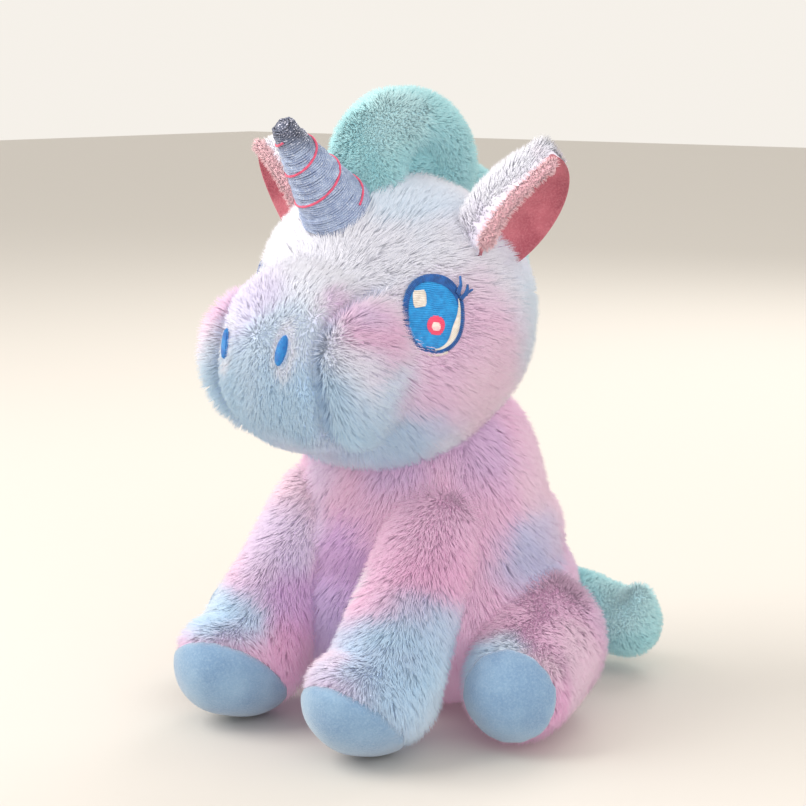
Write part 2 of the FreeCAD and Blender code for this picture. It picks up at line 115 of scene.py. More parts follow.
class Value:
    """A socket of a node graph, so that sums on it read as plain Python."""

    def __init__(self, graph: "Graph", socket: Socket) -> None:
        """Keep the graph and the socket."""
        self.graph = graph
        self.socket = socket

    def out(self, name: str | int) -> "Value":
        """Return another output of the same node."""
        return Value(self.graph, self.socket.node.outputs[name])

    def _math(self, operation: str, first: object, second: object = 0.0) -> "Value":
        """Add a Math node."""
        return self.graph.node("ShaderNodeMath", {"operation": operation}, {0: first, 1: second})

    def __add__(self, other: object) -> "Value":
        """Sum."""
        return self._math("ADD", self, other)

    def __rsub__(self, other: object) -> "Value":
        """Difference, with the value second."""
        return self._math("SUBTRACT", other, self)

    def __mul__(self, other: object) -> "Value":
        """Product."""
        return self._math("MULTIPLY", self, other)

    def __pow__(self, other: object) -> "Value":
        """Power."""
        return self._math("POWER", self, other)

    __radd__ = __add__
    __rmul__ = __mul__


class Graph:
    """Adds nodes to one node tree."""

    def __init__(self, tree: bpy.types.NodeTree) -> None:
        """Keep the tree."""
        self.tree = tree

    def node(self, kind: str, settings: dict | None = None, inputs: dict | None = None,
             output: str | int = 0) -> Value:
        """Add any node.

        Args:
            kind: the node's type.
            settings: its properties, set first.
            inputs: values or links for its input sockets, by name or number.
            output: the output socket to return.

        Returns:
            The chosen output.
        """
        made = self.tree.nodes.new(kind)
        for name, value in (settings or {}).items():
            setattr(made, name, value)
        for key, value in (inputs or {}).items():
            if isinstance(value, Value):
                self.tree.links.new(value.socket, made.inputs[key])
            else:
                made.inputs[key].default_value = value
        return Value(self, made.outputs[output]) if made.outputs else None

    def mix(self, share: object, first: object, second: object, blend: str = "MIX") -> Value:
        """Mix two colours."""
        settings = {"data_type": "RGBA", "blend_type": blend}
        return self.node("ShaderNodeMix", settings, {0: share, 6: first, 7: second}, 2)

    def span(self, value: Value, low: float, high: float, most: float = 1.0) -> Value:
        """Rise from 0 at low to most at high."""
        return self.node("ShaderNodeMapRange", None, {0: value, 1: low, 2: high, 3: 0.0, 4: most})

    def vector(self, operation: str, first: object, second: object = None, scale: object = None) -> Value:
        """Add a Vector Math node."""
        inputs = {0: first}
        if second is not None:
            inputs[1] = second
        if scale is not None:
            inputs["Scale"] = scale
        output = "Value" if operation == "LENGTH" else "Vector"
        return self.node("ShaderNodeVectorMath", {"operation": operation}, inputs, output)


# ------------------------------------------------------------------- finishes


class Dye(Enum):
    """Named colours of the cloth and threads."""

    SNOW = "EEEDFC"
    MIST = "C6E0F9"
    SKY = "9ACAF0"
    SLATE = "86B0E0"
    LILAC = "D3C0EE"
    VIOLET = "A68FD6"
    PURPLE = "B57CCB"
    PINK = "EFA6D2"
    ROSE = "E67FBB"
    BLUSH = "F6C3DC"
    AQUA = "86D2D8"
    TEAL = "5FB2BC"
    FOAM = "B4E8EA"
    VELVET = "8BAAC6"
    VELVET_DEEP = "7494B6"
    VELVET_LIGHT = "A8C1D6"
    # The ear lining's pink and its deeper tone are partly the velvet's own colour and partly painted shade:
    # both are made darker to stand for the shade inside the ear's cup.
    LINING = "CE7986"
    LINING_DEEP = "AE5A69"
    LINING_LIGHT = "E39AA4"
    TRIM = "F3A9B2"
    AZURE = "22A6E8"
    AZURE_DEEP = "1287CC"
    NAVY = "1163B2"
    NAVY_DEEP = "0B4A8C"
    CREAM = "EFEAE2"
    CREAM_DEEP = "D8CEC2"
    CORAL = "EE4F76"
    PETAL = "F7B9C4"
    LUREX = "B2C1DC"
    # the colour of the horn thread's painted glints
    LUREX_LIGHT = "E2E8F4"
    LUREX_DARK = "90A0C2"
    PEWTER = "5E6478"
    CORD = "C2506F"

    @property
    def rgba(self) -> tuple[float, float, float, float]:
        """The colour as linear RGBA."""
        return colour(self.value)


LIGHT_THROUGH = 0.2  # emission that stands for the light passing through pile


class Finish:
    """A material made of nodes. A finish's own class says what it looks like."""

    name: str

    def make(self) -> bpy.types.Material:
        """Build the material, or return the one that is already there."""
        title = "finish_" + self.name
        if title in bpy.data.materials:
            return bpy.data.materials[title]
        material = bpy.data.materials.new(title)
        material.use_nodes = True
        material.node_tree.nodes.clear()
        graph = Graph(material.node_tree)
        shader = self.shade(graph)
        graph.node("ShaderNodeOutputMaterial", None, {"Surface": shader})
        return material

    def shade(self, graph: Graph) -> Value:
        """Return the surface shader."""
        raise NotImplementedError


def surface(graph: Graph, shade: object, rough: object, normal: Value | None = None,
            sheen: float = 0.0, specular: float = 0.5, metal: object = 0.0, through: float = 0.0) -> Value:
    """Add a Principled shader. Its argument through is painted light: a glow in the base colour, set as
    emission, that stands for light coming through from behind.
    """
    inputs = {"Base Color": shade, "Roughness": rough, "Sheen Weight": sheen,
              "Specular IOR Level": specular, "Metallic": metal}
    if through:
        inputs |= {"Emission Color": shade, "Emission Strength": through}
    if normal:
        inputs["Normal"] = normal
    return graph.node("ShaderNodeBsdfPrincipled", None, inputs)


def attribute(graph: Graph, name: str, output: str = "Fac") -> Value:
    """Read a named attribute of the mesh."""
    return graph.node("ShaderNodeAttribute", {"attribute_name": name}, None, output)


def bump(graph: Graph, height: Value, strength: float, reach: float) -> Value:
    """Turn a height into a normal."""
    return graph.node("ShaderNodeBump", None, {"Strength": strength, "Distance": reach, "Height": height},
                      "Normal")


def cloud(graph: Graph, scale: float, detail: float = 3.0) -> Value:
    """Noise on Object coordinates."""
    where = graph.node("ShaderNodeTexCoord", None, None, "Object")
    return graph.node("ShaderNodeTexNoise", None, {"Vector": where, "Scale": scale, "Detail": detail}, 0)


@dataclass(frozen=True)
class PileFinish(Finish):
    """Fibres that carry their dye, pale at the tip, with painted shade that darkens them towards the root."""

    name: str = "fur_plush"
    root_shade: float = 0.92
    tip_light: float = 0.25
    rounding: float = 0.8

    def shade(self, graph: Graph) -> Value:
        """Dye with painted shade towards the root, and lit mostly as the skin below is."""
        dye = attribute(graph, "dye", "Color")
        along = attribute(graph, "along")
        stray = attribute(graph, "stray")
        # painted shade: the dye is darkened towards the root, standing for the shade deep in the pile
        deep = graph.mix(1.0, dye, (self.root_shade, self.root_shade, self.root_shade * 1.05, 1), "MULTIPLY")
        body = graph.mix(along ** 0.7, deep, dye)
        pale = graph.mix(stray * along * self.tip_light, body, (1, 1, 1, 1))
        patchy = graph.mix(cloud(graph, 260) * 0.22, pale, dye)
        inwards = attribute(graph, "skin_normal", "Vector")
        turned = graph.node("ShaderNodeVectorTransform",
                            {"vector_type": "NORMAL", "convert_from": "OBJECT", "convert_to": "WORLD"},
                            {0: inwards})
        own = graph.node("ShaderNodeNewGeometry", None, None, "Normal")
        blend = graph.node("ShaderNodeMix", {"data_type": "VECTOR"}, {0: self.rounding, 4: own, 5: turned}, 1)
        normal = graph.vector("NORMALIZE", blend)
        return surface(graph, patchy, 0.85, normal, sheen=0.1, specular=0.12, through=LIGHT_THROUGH)


@dataclass(frozen=True)
class SkinFinish(Finish):
    """The woven backing below the pile, in the same dye."""

    name: str = "pile_backing"

    def shade(self, graph: Graph) -> Value:
        """The pile's dye made darker, by an amount that changes with the pile's fine grain."""
        dye = attribute(graph, "dye", "Color")
        grain = cloud(graph, 900, 4)
        deep = graph.mix(0.4 + 0.3 * grain, dye, (0.84, 0.80, 0.87, 1), "MULTIPLY")
        normal = bump(graph, grain, 0.6, 0.0008)
        return surface(graph, deep, 0.95, normal, sheen=0.2, specular=0.1, through=LIGHT_THROUGH)


@dataclass(frozen=True)
class VelvetFinish(Finish):
    """Short velvet that shows brushed patches and a bright rim."""

    name: str
    base: Dye
    deep: Dye
    light: Dye
    sheen: float

    def shade(self, graph: Graph) -> Value:
        """Brushed patches over fine nap."""
        brushed = cloud(graph, 55, 4)
        nap = cloud(graph, 1900, 5)
        fleck = cloud(graph, 1100, 3)
        patch = graph.span(brushed, 0.38, 0.66)
        body = graph.mix(patch, self.deep.rgba, self.base.rgba)
        tone = graph.span(fleck, 0.42, 0.8, 0.45)
        speckled = graph.mix(tone, body, self.light.rgba)
        normal = bump(graph, nap + 0.6 * fleck, 0.55, 0.0006)
        return surface(graph, speckled, 0.9, normal, sheen=self.sheen, specular=0.15)


@dataclass(frozen=True)
class ThreadFinish(Finish):
    """Satin-stitch thread with a soft shine and a little change from stitch to stitch."""

    name: str
    base: Dye
    deep: Dye
    rough: float = 0.42

    def shade(self, graph: Graph) -> Value:
        """Thread colour, changing from row to row."""
        change = graph.span(cloud(graph, 420), 0.35, 0.7)
        body = graph.mix(change, self.deep.rgba, self.base.rgba)
        twist = cloud(graph, 2600, 2)
        return surface(graph, body, self.rough, bump(graph, twist, 0.35, 0.0003), sheen=0.2)


@dataclass(frozen=True)
class LurexFinish(Finish):
    """Silver-blue metallic thread that sparkles with painted glints, darker towards the point."""

    name: str = "horn_thread"
    glitter_from: float = 0.268
    glitter_to: float = 0.277

    def shade(self, graph: Graph) -> Value:
        """Blue-grey thread with bright flecks of painted glint, and a pewter point with white painted glints.
        """
        where = graph.node("ShaderNodeTexCoord", None, None, "Object")
        height = graph.node("ShaderNodeSeparateXYZ", None, {0: where}, "Z")
        point = graph.span(height, self.glitter_from, self.glitter_to)
        change = graph.span(cloud(graph, 340), 0.35, 0.7)
        body = graph.mix(change, Dye.LUREX_DARK.rgba, Dye.LUREX.rgba)
        # painted glint: bright flecks in the base colour stand for sparkle off the metal thread, which is
        # also smoother there
        shine = graph.span(cloud(graph, 1500, 2), 0.55, 0.72)
        thread = graph.mix(shine * 0.8, body, Dye.LUREX_LIGHT.rgba)
        foil = graph.mix(shine, Dye.PEWTER.rgba, Dye.SNOW.rgba)
        shade = graph.mix(point, thread, foil)
        rough = 0.6 - 0.25 * shine
        return surface(graph, shade, rough, bump(graph, cloud(graph, 1700, 2), 0.6, 0.0005),
                       sheen=0.1, metal=0.25 + 0.4 * point)


@dataclass(frozen=True)
class FloorFinish(Finish):
    """Plain pale floor."""

    name: str = "floor"

    def shade(self, graph: Graph) -> Value:
        """One pale, dull colour."""
        return surface(graph, (0.66, 0.63, 0.59, 1), 0.9, specular=0.2)


AZURE_THREAD = ThreadFinish("thread_azure", Dye.AZURE, Dye.AZURE_DEEP)
NAVY_THREAD = ThreadFinish("thread_navy", Dye.NAVY, Dye.NAVY_DEEP)
CREAM_THREAD = ThreadFinish("thread_cream", Dye.CREAM, Dye.CREAM_DEEP)
CORAL_THREAD = ThreadFinish("thread_coral", Dye.CORAL, Dye.CORAL)
PETAL_THREAD = ThreadFinish("thread_petal", Dye.PETAL, Dye.CREAM)
NOSTRIL_THREAD = ThreadFinish("thread_nostril", Dye.AZURE_DEEP, Dye.NAVY)
CORD_THREAD = ThreadFinish("horn_cord", Dye.CORD, Dye.CORAL, 0.55)
HOOF_VELVET = VelvetFinish("hoof_velvet", Dye.VELVET, Dye.VELVET_DEEP, Dye.VELVET_LIGHT, 0.6)
EAR_VELVET = VelvetFinish("ear_velvet", Dye.LINING, Dye.LINING_DEEP, Dye.LINING_LIGHT, 0.35)


# -------------------------------------------------------------------- helpers


def plain_object(name: str, mesh: bpy.types.Mesh) -> bpy.types.Object:
    """Link a mesh as an object at the origin."""
    thing = bpy.data.objects.new(name, mesh)
    bpy.context.scene.collection.objects.link(thing)
    return thing


def mesh_of(name: str, points: Sequence, edges: Sequence, faces: Sequence) -> bpy.types.Mesh:
    """Make a mesh from points in millimetres."""
    mesh = bpy.data.meshes.new(name)
    mesh.from_pydata([tuple(c * MM for c in p) for p in points], edges, faces)
    return mesh


def applied(thing: bpy.types.Object) -> bpy.types.Object:
    """Turn an object's modifiers into plain mesh and remove them."""
    graph = bpy.context.evaluated_depsgraph_get()
    graph.update()
    made = bpy.data.meshes.new_from_object(thing.evaluated_get(graph))
    thing.modifiers.clear()
    old = thing.data
    thing.data = made
    made.name = thing.name
    bpy.data.meshes.remove(old)
    return thing


def places(mesh: bpy.types.Mesh) -> np.ndarray:
    """Return a mesh's vertices in millimetres."""
    flat = np.empty(len(mesh.vertices) * 3)
    mesh.vertices.foreach_get("co", flat)
    return flat.reshape(-1, 3) / MM


def set_places(mesh: bpy.types.Mesh, points: np.ndarray) -> None:
    """Move a mesh's vertices."""
    mesh.vertices.foreach_set("co", (points * MM).ravel())
    mesh.update()


def lifted(points: np.ndarray, lowest: float | np.ndarray) -> np.ndarray:
    """Keep points at or above a height, in place, and return them."""
    points[:, 2] = np.maximum(points[:, 2], lowest)
    return points


def normals(mesh: bpy.types.Mesh) -> np.ndarray:
    """Return a mesh's vertex normals."""
    flat = np.empty(len(mesh.vertices) * 3)
    mesh.vertices.foreach_get("normal", flat)
    return flat.reshape(-1, 3)


def pushed(thing: bpy.types.Object, amount: np.ndarray, lowest: float | None = None) -> np.ndarray:
    """Move each vertex along its normal.

    Args:
        thing: the skin.
        amount: how far outwards, in millimetres.
        lowest: the height that no vertex may be under.

    Returns:
        The new places in millimetres.
    """
    points = places(thing.data) + normals(thing.data) * amount[:, None]
    if lowest is not None:
        lifted(points, lowest)
    set_places(thing.data, points)
    return points


def ripple(points: np.ndarray, scale: float, seed: float, share: float = 0.5) -> np.ndarray:
    """Return one smooth random number per point, as a share of each axis of billow."""
    return billow(points, scale, seed) @ np.full(3, share)


def store(mesh: bpy.types.Mesh, name: str, values: np.ndarray) -> None:
    """Store a number, vector or colour at each vertex."""
    kinds = {1: ("FLOAT", "value"), 3: ("FLOAT_VECTOR", "vector"), 4: ("FLOAT_COLOR", "color")}
    kind, key = kinds[1 if values.ndim == 1 else values.shape[1]]
    layer = mesh.attributes.get(name) or mesh.attributes.new(name, kind, "POINT")
    layer.data.foreach_set(key, np.ascontiguousarray(values, dtype=np.float32).ravel())


def finish_piece(thing: bpy.types.Object, body: str, slot: str, replaced: Sequence[str] = ()) -> None:
    """Make a finished piece ride on its body, and hide the CAD nodes that it stands for.

    Args:
        thing: the piece.
        body: the CAD body that it rides on.
        slot: the record's material slot; not used.
        replaced: CAD nodes that it stands for.
    """
    for face in thing.data.polygons:
        face.use_smooth = True
    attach(thing, body)
    if replaced:
        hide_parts(*replaced)
    LOG.info("%s rides on %s with %d faces", thing.name, body, len(thing.data.polygons))


def rework(mesh: bpy.types.Mesh, step: Callable[[bmesh.types.BMesh], None]) -> None:
    """Run a step on a mesh opened for editing, and turn its faces outwards."""
    bm = bmesh.new()
    bm.from_mesh(mesh)
    step(bm)
    bmesh.ops.recalc_face_normals(bm, faces=bm.faces)
    bm.to_mesh(mesh)
    bm.free()


def plate_of(name: str, points: Sequence, wide: int, merge: float = 0.0) -> bpy.types.Object:
    """Close two grids of points into one plate.

    Args:
        name: the new object's name.
        points: the front grid's points row by row, then the back grid's, in millimetres.
        wide: the points in a row.
        merge: points nearer than this are joined, in millimetres.

    Returns:
        The closed plate.
    """
    count = len(points) // 2
    rows = count // wide
    faces = []
    for row in range(rows - 1):
        for a in range(row * wide, row * wide + wide - 1):
            faces.append((a, a + 1, a + wide + 1, a + wide))
            faces.append((count + a, count + a + wide, count + a + wide + 1, count + a + 1))
    rim = (list(range(wide)) + [row * wide + wide - 1 for row in range(1, rows)]
           + [count - 1 - i for i in range(1, wide)] + [row * wide for row in range(rows - 2, 0, -1)])
    faces.extend((a, a + count, b + count, b) for a, b in zip(rim, rim[1:] + rim[:1]))
    plate = plain_object(name, mesh_of(name, points, [], faces))

    def join(bm: bmesh.types.BMesh) -> None:
        """Join points that meet at a narrow end."""
        if merge:
            bmesh.ops.remove_doubles(bm, verts=bm.verts, dist=merge * MM)

    rework(plate.data, join)
    return plate


@dataclass(frozen=True)
class Lump:
    """An ellipsoid of stuffing: centre, half sizes and a turn about X in degrees."""

    at: tuple[float, float, float]
    radii: tuple[float, float, float]
    pitch: float = 0.0

    def add(self, bm: bmesh.types.BMesh, grow: float) -> None:
        """Add it to a mesh, grown evenly."""
        turn = Matrix.Rotation(math.radians(self.pitch), 4, "X")
        size = Matrix.Diagonal((*[(r + grow) * MM for r in self.radii], 1))
        place = Matrix.Translation(Vector(self.at) * MM) @ turn @ size
        bmesh.ops.create_icosphere(bm, subdivisions=4, radius=1, matrix=place)


@dataclass(frozen=True)
class Roll:
    """A row of round lumps along a path of (place, radius) stations."""

    stations: tuple[tuple[tuple[float, float, float], float], ...]
    spacing: float = 4.0

    def add(self, bm: bmesh.types.BMesh, grow: float) -> None:
        """Add it to a mesh, grown evenly."""
        for (start, low), (end, high) in zip(self.stations, self.stations[1:]):
            length = (Vector(end) - Vector(start)).length
            steps = max(2, math.ceil(length / self.spacing))
            for step in range(steps + 1):
                share = step / steps
                at = Vector(start).lerp(Vector(end), share) * MM
                radius = (low + (high - low) * share + grow) * MM
                bmesh.ops.create_icosphere(bm, subdivisions=3, radius=radius, matrix=Matrix.Translation(at))


def blend_skin(thing: bpy.types.Object, voxel: float, factor: float, passes: int) -> bpy.types.Object:
    """Remesh an object as one skin, and smooth it."""
    remesh = thing.modifiers.new("remesh", "REMESH")
    remesh.mode = "VOXEL"
    remesh.voxel_size = voxel * MM
    relax = thing.modifiers.new("relax", "SMOOTH")
    relax.factor = factor
    relax.iterations = passes
    return applied(thing)


def stuffed_mesh(name: str, parts: Sequence[Lump | Roll], grow: float, voxel: float = 2.6,
                 passes: int = 10) -> bpy.types.Object:
    """Join lumps into one closed, softly blended skin."""
    bm = bmesh.new()
    for part in parts:
        part.add(bm, grow)
    mesh = bpy.data.meshes.new(name)
    bm.to_mesh(mesh)
    bm.free()
    return blend_skin(plain_object(name, mesh), voxel, 0.6, passes)


def inflate(thing: bpy.types.Object, held: np.ndarray, most: float, pressure: float = 25.0,
            frames: int = 16) -> None:
    """Blow a skin up from inside as cloth, so that it swells between its seams.

    Args:
        thing: the skin.
        held: how firmly each vertex is held, from 0 to 1 along a seam.
        most: the furthest that a vertex may move, in millimetres.
        pressure: the cloth's inner pressure.
        frames: how long it swells.
    """
    before = places(thing.data)
    group = thing.vertex_groups.new(name="held")
    for index in np.flatnonzero(held > 0.02):
        group.add([int(index)], float(held[index]), "REPLACE")
    settings = thing.modifiers.new("cloth", "CLOTH").settings
    settings.quality = 4
    settings.mass = 0.004
    settings.use_pressure = True
    settings.uniform_pressure_force = pressure
    settings.tension_stiffness = settings.compression_stiffness = 12
    settings.shear_stiffness = 5
    settings.bending_stiffness = 0.4
    settings.vertex_group_mass = group.name
    settings.effector_weights.gravity = 0
    scene = bpy.context.scene
    for frame_number in range(1, frames + 1):
        scene.frame_set(frame_number)
    applied(thing)
    scene.frame_set(1)
    thing.vertex_groups.clear()
    moved = places(thing.data) - before
    far = np.linalg.norm(moved, axis=1, keepdims=True)
    set_places(thing.data, before + moved * np.minimum(1, most / np.maximum(far, 1e-6)))
    LOG.info("%s swelled by up to %.1f mm", thing.name, float(far.max()))


@dataclass(frozen=True)
class Patch:
    """A soft-edged patch of dye."""

    at: tuple[float, float, float]
    reach: float
    dye: Dye
    strength: float = 1.0


FIBRE_LIGHT = 0.6  # power that lightens a fibre's dye
FIBRES_FROM = 0.3  # lowest height of a fibre's tip, in millimetres


def dyed(points: np.ndarray, base: Dye, patches: Sequence[Patch]) -> np.ndarray:
    """Return the dye at points: a base with soft patches, blurred by the way dye runs.

    Fibres shade one another, so each one is lighter than the pile is to look.
    """
    warped = points + billow(points, 22) * 9 + billow(points, 8, 2) * 3
    shade = np.tile(np.array(base.rgba), (len(points), 1))
    for patch in patches:
        away = np.linalg.norm(warped - np.array(patch.at), axis=1) / patch.reach
        share = (1 - smooth(away, 0.45, 1.25))[:, None] * patch.strength
        shade = shade * (1 - share) + np.array(patch.dye.rgba) * share
    return shade ** FIBRE_LIGHT


# ----------------------------------------------------------------------- pile


@dataclass(frozen=True)
class Pile:
    """The cut of a plush: sizes in millimetres, fibres and tufts per square centimetre."""

    length: float = 9.2
    width: float = 0.6
    fibres: float = 198.0
    tufts: float = 10.0
    rise: float = 0.58
    lean: float = 0.66
    tousle: float = 0.17
    jitter: float = 0.20
    pull: float = 0.38


FUR = Pile()
NAP = Pile(length=4.6, width=0.58, fibres=265, tufts=26, rise=0.85, lean=0.35, tousle=0.35, jitter=0.3,
           pull=0.4)
TRIM = Pile(length=3.0, width=0.5, fibres=300, tufts=60, rise=1.0, lean=0.1, tousle=0.7, jitter=0.5, pull=0.6)


def geometry_tree(name: str, kinds: dict[str, str]) -> tuple[Graph, Value]:
    """Start a Geometry Nodes tree.

    Args:
        name: the tree's name.
        kinds: the kind of socket of each input after the geometry, by name.

    Returns:
        The graph and its input node.
    """
    tree = bpy.data.node_groups.new(name, "GeometryNodeTree")
    for label, kind in ({"Geometry": "Geometry"} | kinds).items():
        tree.interface.new_socket(name=label, in_out="INPUT", socket_type="NodeSocket" + kind)
    tree.interface.new_socket(name="Geometry", in_out="OUTPUT", socket_type="NodeSocketGeometry")
    graph = Graph(tree)
    return graph, graph.node("NodeGroupInput")


def tree_end(graph: Graph, given: Value, shape: Value) -> bpy.types.NodeTree:
    """Turn a tree's shape into plain mesh of the given material, and return the tree."""
    real = graph.node("GeometryNodeRealizeInstances", None, {"Geometry": shape})
    clothed = graph.node("GeometryNodeSetMaterial", None,
                         {"Geometry": real, "Material": given.out("Material")})
    graph.node("NodeGroupOutput", None, {0: clothed})
    return graph.tree


def fibre() -> bpy.types.Object:
    """A closed spike of unit height with the attribute "along" from root to tip."""
    corners = [(0.5 * math.cos(math.tau * i / 3), 0.5 * math.sin(math.tau * i / 3), 0.0) for i in range(3)]
    mesh = bpy.data.meshes.new("fibre")
    mesh.from_pydata([*corners, (0.0, 0.0, 1.0)], [], [(2, 1, 0), (0, 1, 3), (1, 2, 3), (2, 0, 3)])
    store(mesh, "along", np.array((0.0, 0.0, 0.0, 1.0)))
    return plain_object("fibre", mesh)


def pile_tree() -> bpy.types.NodeTree:
    """The Geometry Nodes tree that grows pile on a skin.

    The skin carries "comb" (the way the pile lies), "cut" (share of full length) and "growth"
    (share of full density). Fibres lean towards the tip of the nearest tuft.
    """
    numbers = ("Length", "Width", "Fibres", "Tufts", "Rise", "Lean", "Tousle", "Jitter", "Pull")
    kinds = {name: "Float" for name in numbers} | {"Seed": "Int", "Fibre": "Object", "Material": "Material"}
    graph, given = geometry_tree("pile", kinds)

    def read(name: str, kind: str) -> Value:
        """Read an attribute of the skin."""
        return graph.node("GeometryNodeInputNamedAttribute", {"data_type": kind}, {"Name": name})

    def chance(seed: int, ident: Value | None = None) -> Value:
        """A random vector for each fibre, or for each tuft when its number is given."""
        inputs = {0: (-1.0, -1.0, -1.0), 1: (1.0, 1.0, 1.0), "Seed": seed}
        if ident:
            inputs["ID"] = ident
        return graph.node("FunctionNodeRandomValue", {"data_type": "FLOAT_VECTOR"}, inputs)

    def number(low: float, high: float, seed: int) -> Value:
        """A random number for each fibre."""
        settings = {"data_type": "FLOAT"}
        return graph.node("FunctionNodeRandomValue", settings, {2: low, 3: high, "Seed": seed}, 1)

    def scatter(density: Value, seed: Value | int) -> Value:
        """Points spread over the skin."""
        return graph.node("GeometryNodeDistributePointsOnFaces", {"distribute_method": "RANDOM"},
                          {"Mesh": given.out("Geometry"), "Density": density, "Seed": seed})

    def keep(shape: Value, name: str, kind: str, value: Value) -> Value:
        """Store an attribute on the points."""
        return graph.node("GeometryNodeStoreNamedAttribute", {"data_type": kind, "domain": "POINT"},
                          {"Geometry": shape, "Name": name, "Value": value})

    points = scatter(given.out("Fibres") * read("growth", "FLOAT"), given.out("Seed"))
    clumps = scatter(given.out("Tufts"), 7)
    here = graph.node("GeometryNodeInputPosition")
    nearest = graph.node("GeometryNodeSampleNearest", {"domain": "POINT"},
                         {"Geometry": clumps, "Sample Position": here})
    centre = graph.node("GeometryNodeSampleIndex", {"data_type": "FLOAT_VECTOR", "domain": "POINT"},
                        {"Geometry": clumps, "Value": here, "Index": nearest})
    normal = points.out("Normal")
    cut = read("cut", "FLOAT")
    swirl = chance(11, nearest)
    wander = chance(23)
    upright = graph.vector("SCALE", normal, scale=given.out("Rise"))
    laid = graph.vector("SCALE", read("comb", "FLOAT_VECTOR"), scale=given.out("Lean"))
    heading = graph.vector("ADD", upright, laid)

    def reach(random: Value, strength: Value, origin: Value, size: Value) -> Value:
        """The tip reached from a root along the heading, turned a little at random."""
        stray = graph.vector("SCALE", random, scale=strength)
        way = graph.vector("NORMALIZE", graph.vector("ADD", heading, stray))
        return graph.vector("ADD", origin, graph.vector("SCALE", way, scale=size))

    uneven = number(0.78, 1.06, 31)
    size = given.out("Length") * cut
    own_tip = reach(wander, given.out("Jitter"), here, size * uneven)
    tuft_tip = reach(swirl, given.out("Tousle"), centre, size)
    tip = graph.node("ShaderNodeMix", {"data_type": "VECTOR"},
                     {0: given.out("Pull"), 4: own_tip, 5: tuft_tip}, 1)
    way = graph.vector("SUBTRACT", tip, here)
    long = graph.vector("LENGTH", way)
    turned = graph.node("FunctionNodeAlignRotationToVector", {"axis": "Z"}, {"Vector": way})
    rolled = graph.node("FunctionNodeAlignRotationToVector", {"axis": "X", "pivot_axis": "Z"},
                        {"Rotation": turned, "Vector": normal})
    stray = number(0.0, 1.0, 41)
    kept = keep(keep(points, "skin_normal", "FLOAT_VECTOR", normal), "stray", "FLOAT", stray)
    blade = graph.node("GeometryNodeObjectInfo", None, {"Object": given.out("Fibre")}, "Geometry")
    broad = given.out("Width") * uneven
    scale = graph.node("ShaderNodeCombineXYZ", None, {0: broad, 1: broad, 2: long})
    grown = graph.node("GeometryNodeInstanceOnPoints", None,
                       {"Points": kept, "Instance": blade, "Rotation": rolled, "Scale": scale})
    return tree_end(graph, given, grown)


def tree_input(thing: bpy.types.Object, tree: bpy.types.NodeTree, values: dict) -> None:
    """Add a Geometry Nodes modifier and set its named inputs."""
    modifier = thing.modifiers.new(tree.name, "NODES")
    modifier.node_group = tree
    keys = {item.name: item.identifier for item in tree.interface.items_tree if item.in_out == "INPUT"}
    for name, value in values.items():
        modifier[keys[name]] = value


@dataclass
class Furrier:
    """Grows pile on skins, in pieces small enough to keep."""

    most_fibres: int = 47000
    density: float = 1.0
    tree: bpy.types.NodeTree = field(default_factory=pile_tree)
    fibre: bpy.types.Object = field(default_factory=fibre)

    def grow(self, skin: bpy.types.Object, name: str, body: str, slot: str, pile: Pile, seed: int,
             comb: Callable[[np.ndarray], np.ndarray]) -> None:
        """Grow pile on a skin.

        Args:
            skin: the skin, with its dye, cut and growth stored.
            name: the name that each piece starts with.
            body: the body that they ride on.
            slot: the record's material slot.
            pile: the cut of the plush.
            seed: fixes the random places.
            comb: gives the way the pile is brushed at each point.
        """
        mesh = skin.data
        flow, out = comb(places(mesh)), normals(mesh)
        flow = flow - (flow * out).sum(1, keepdims=True) * out
        store(mesh, "comb", unit(flow))
        area = sum(face.area for face in mesh.polygons) / MM / MM / CM2
        shares = np.empty(len(mesh.vertices))
        mesh.attributes["growth"].data.foreach_get("value", shares)
        fibres, width = pile.fibres * self.density, pile.width / math.sqrt(self.density)
        count = area * fibres * float(shares.mean())
        groups = max(1, math.ceil(count / self.most_fibres))
        for group in range(groups):
            piece = plain_object(f"{name}_{group + 1}", mesh.copy())
            tree_input(piece, self.tree, {
                "Length": pile.length * MM, "Width": width * MM, "Fibres": fibres * PER_M2 / groups,
                "Tufts": pile.tufts * PER_M2, "Rise": pile.rise, "Lean": pile.lean, "Tousle": pile.tousle,
                "Jitter": pile.jitter, "Pull": pile.pull, "Seed": seed * 50 + group, "Fibre": self.fibre,
                "Material": PileFinish().make()})
            applied(piece)
            set_places(piece.data, lifted(places(piece.data), FIBRES_FROM))
            finish_piece(piece, body, slot)

    def close(self) -> None:
        """Remove the pattern fibre."""
        bpy.data.objects.remove(self.fibre)


# -------------------------------------------------------------------- threads


def thread_tree() -> bpy.types.NodeTree:
    """The Geometry Nodes tree that turns paths into round thread."""
    graph, given = geometry_tree("thread", {"Radius": "Float", "Sides": "Int", "Material": "Material"})
    path = graph.node("GeometryNodeMeshToCurve", None, {"Mesh": given.out("Geometry")})
    ring = graph.node("GeometryNodeCurvePrimitiveCircle", {"mode": "RADIUS"},
                      {"Resolution": given.out("Sides"), "Radius": given.out("Radius")})
    tube = graph.node("GeometryNodeCurveToMesh", None,
                      {"Curve": path, "Profile Curve": ring, "Fill Caps": True})
    return tree_end(graph, given, tube)


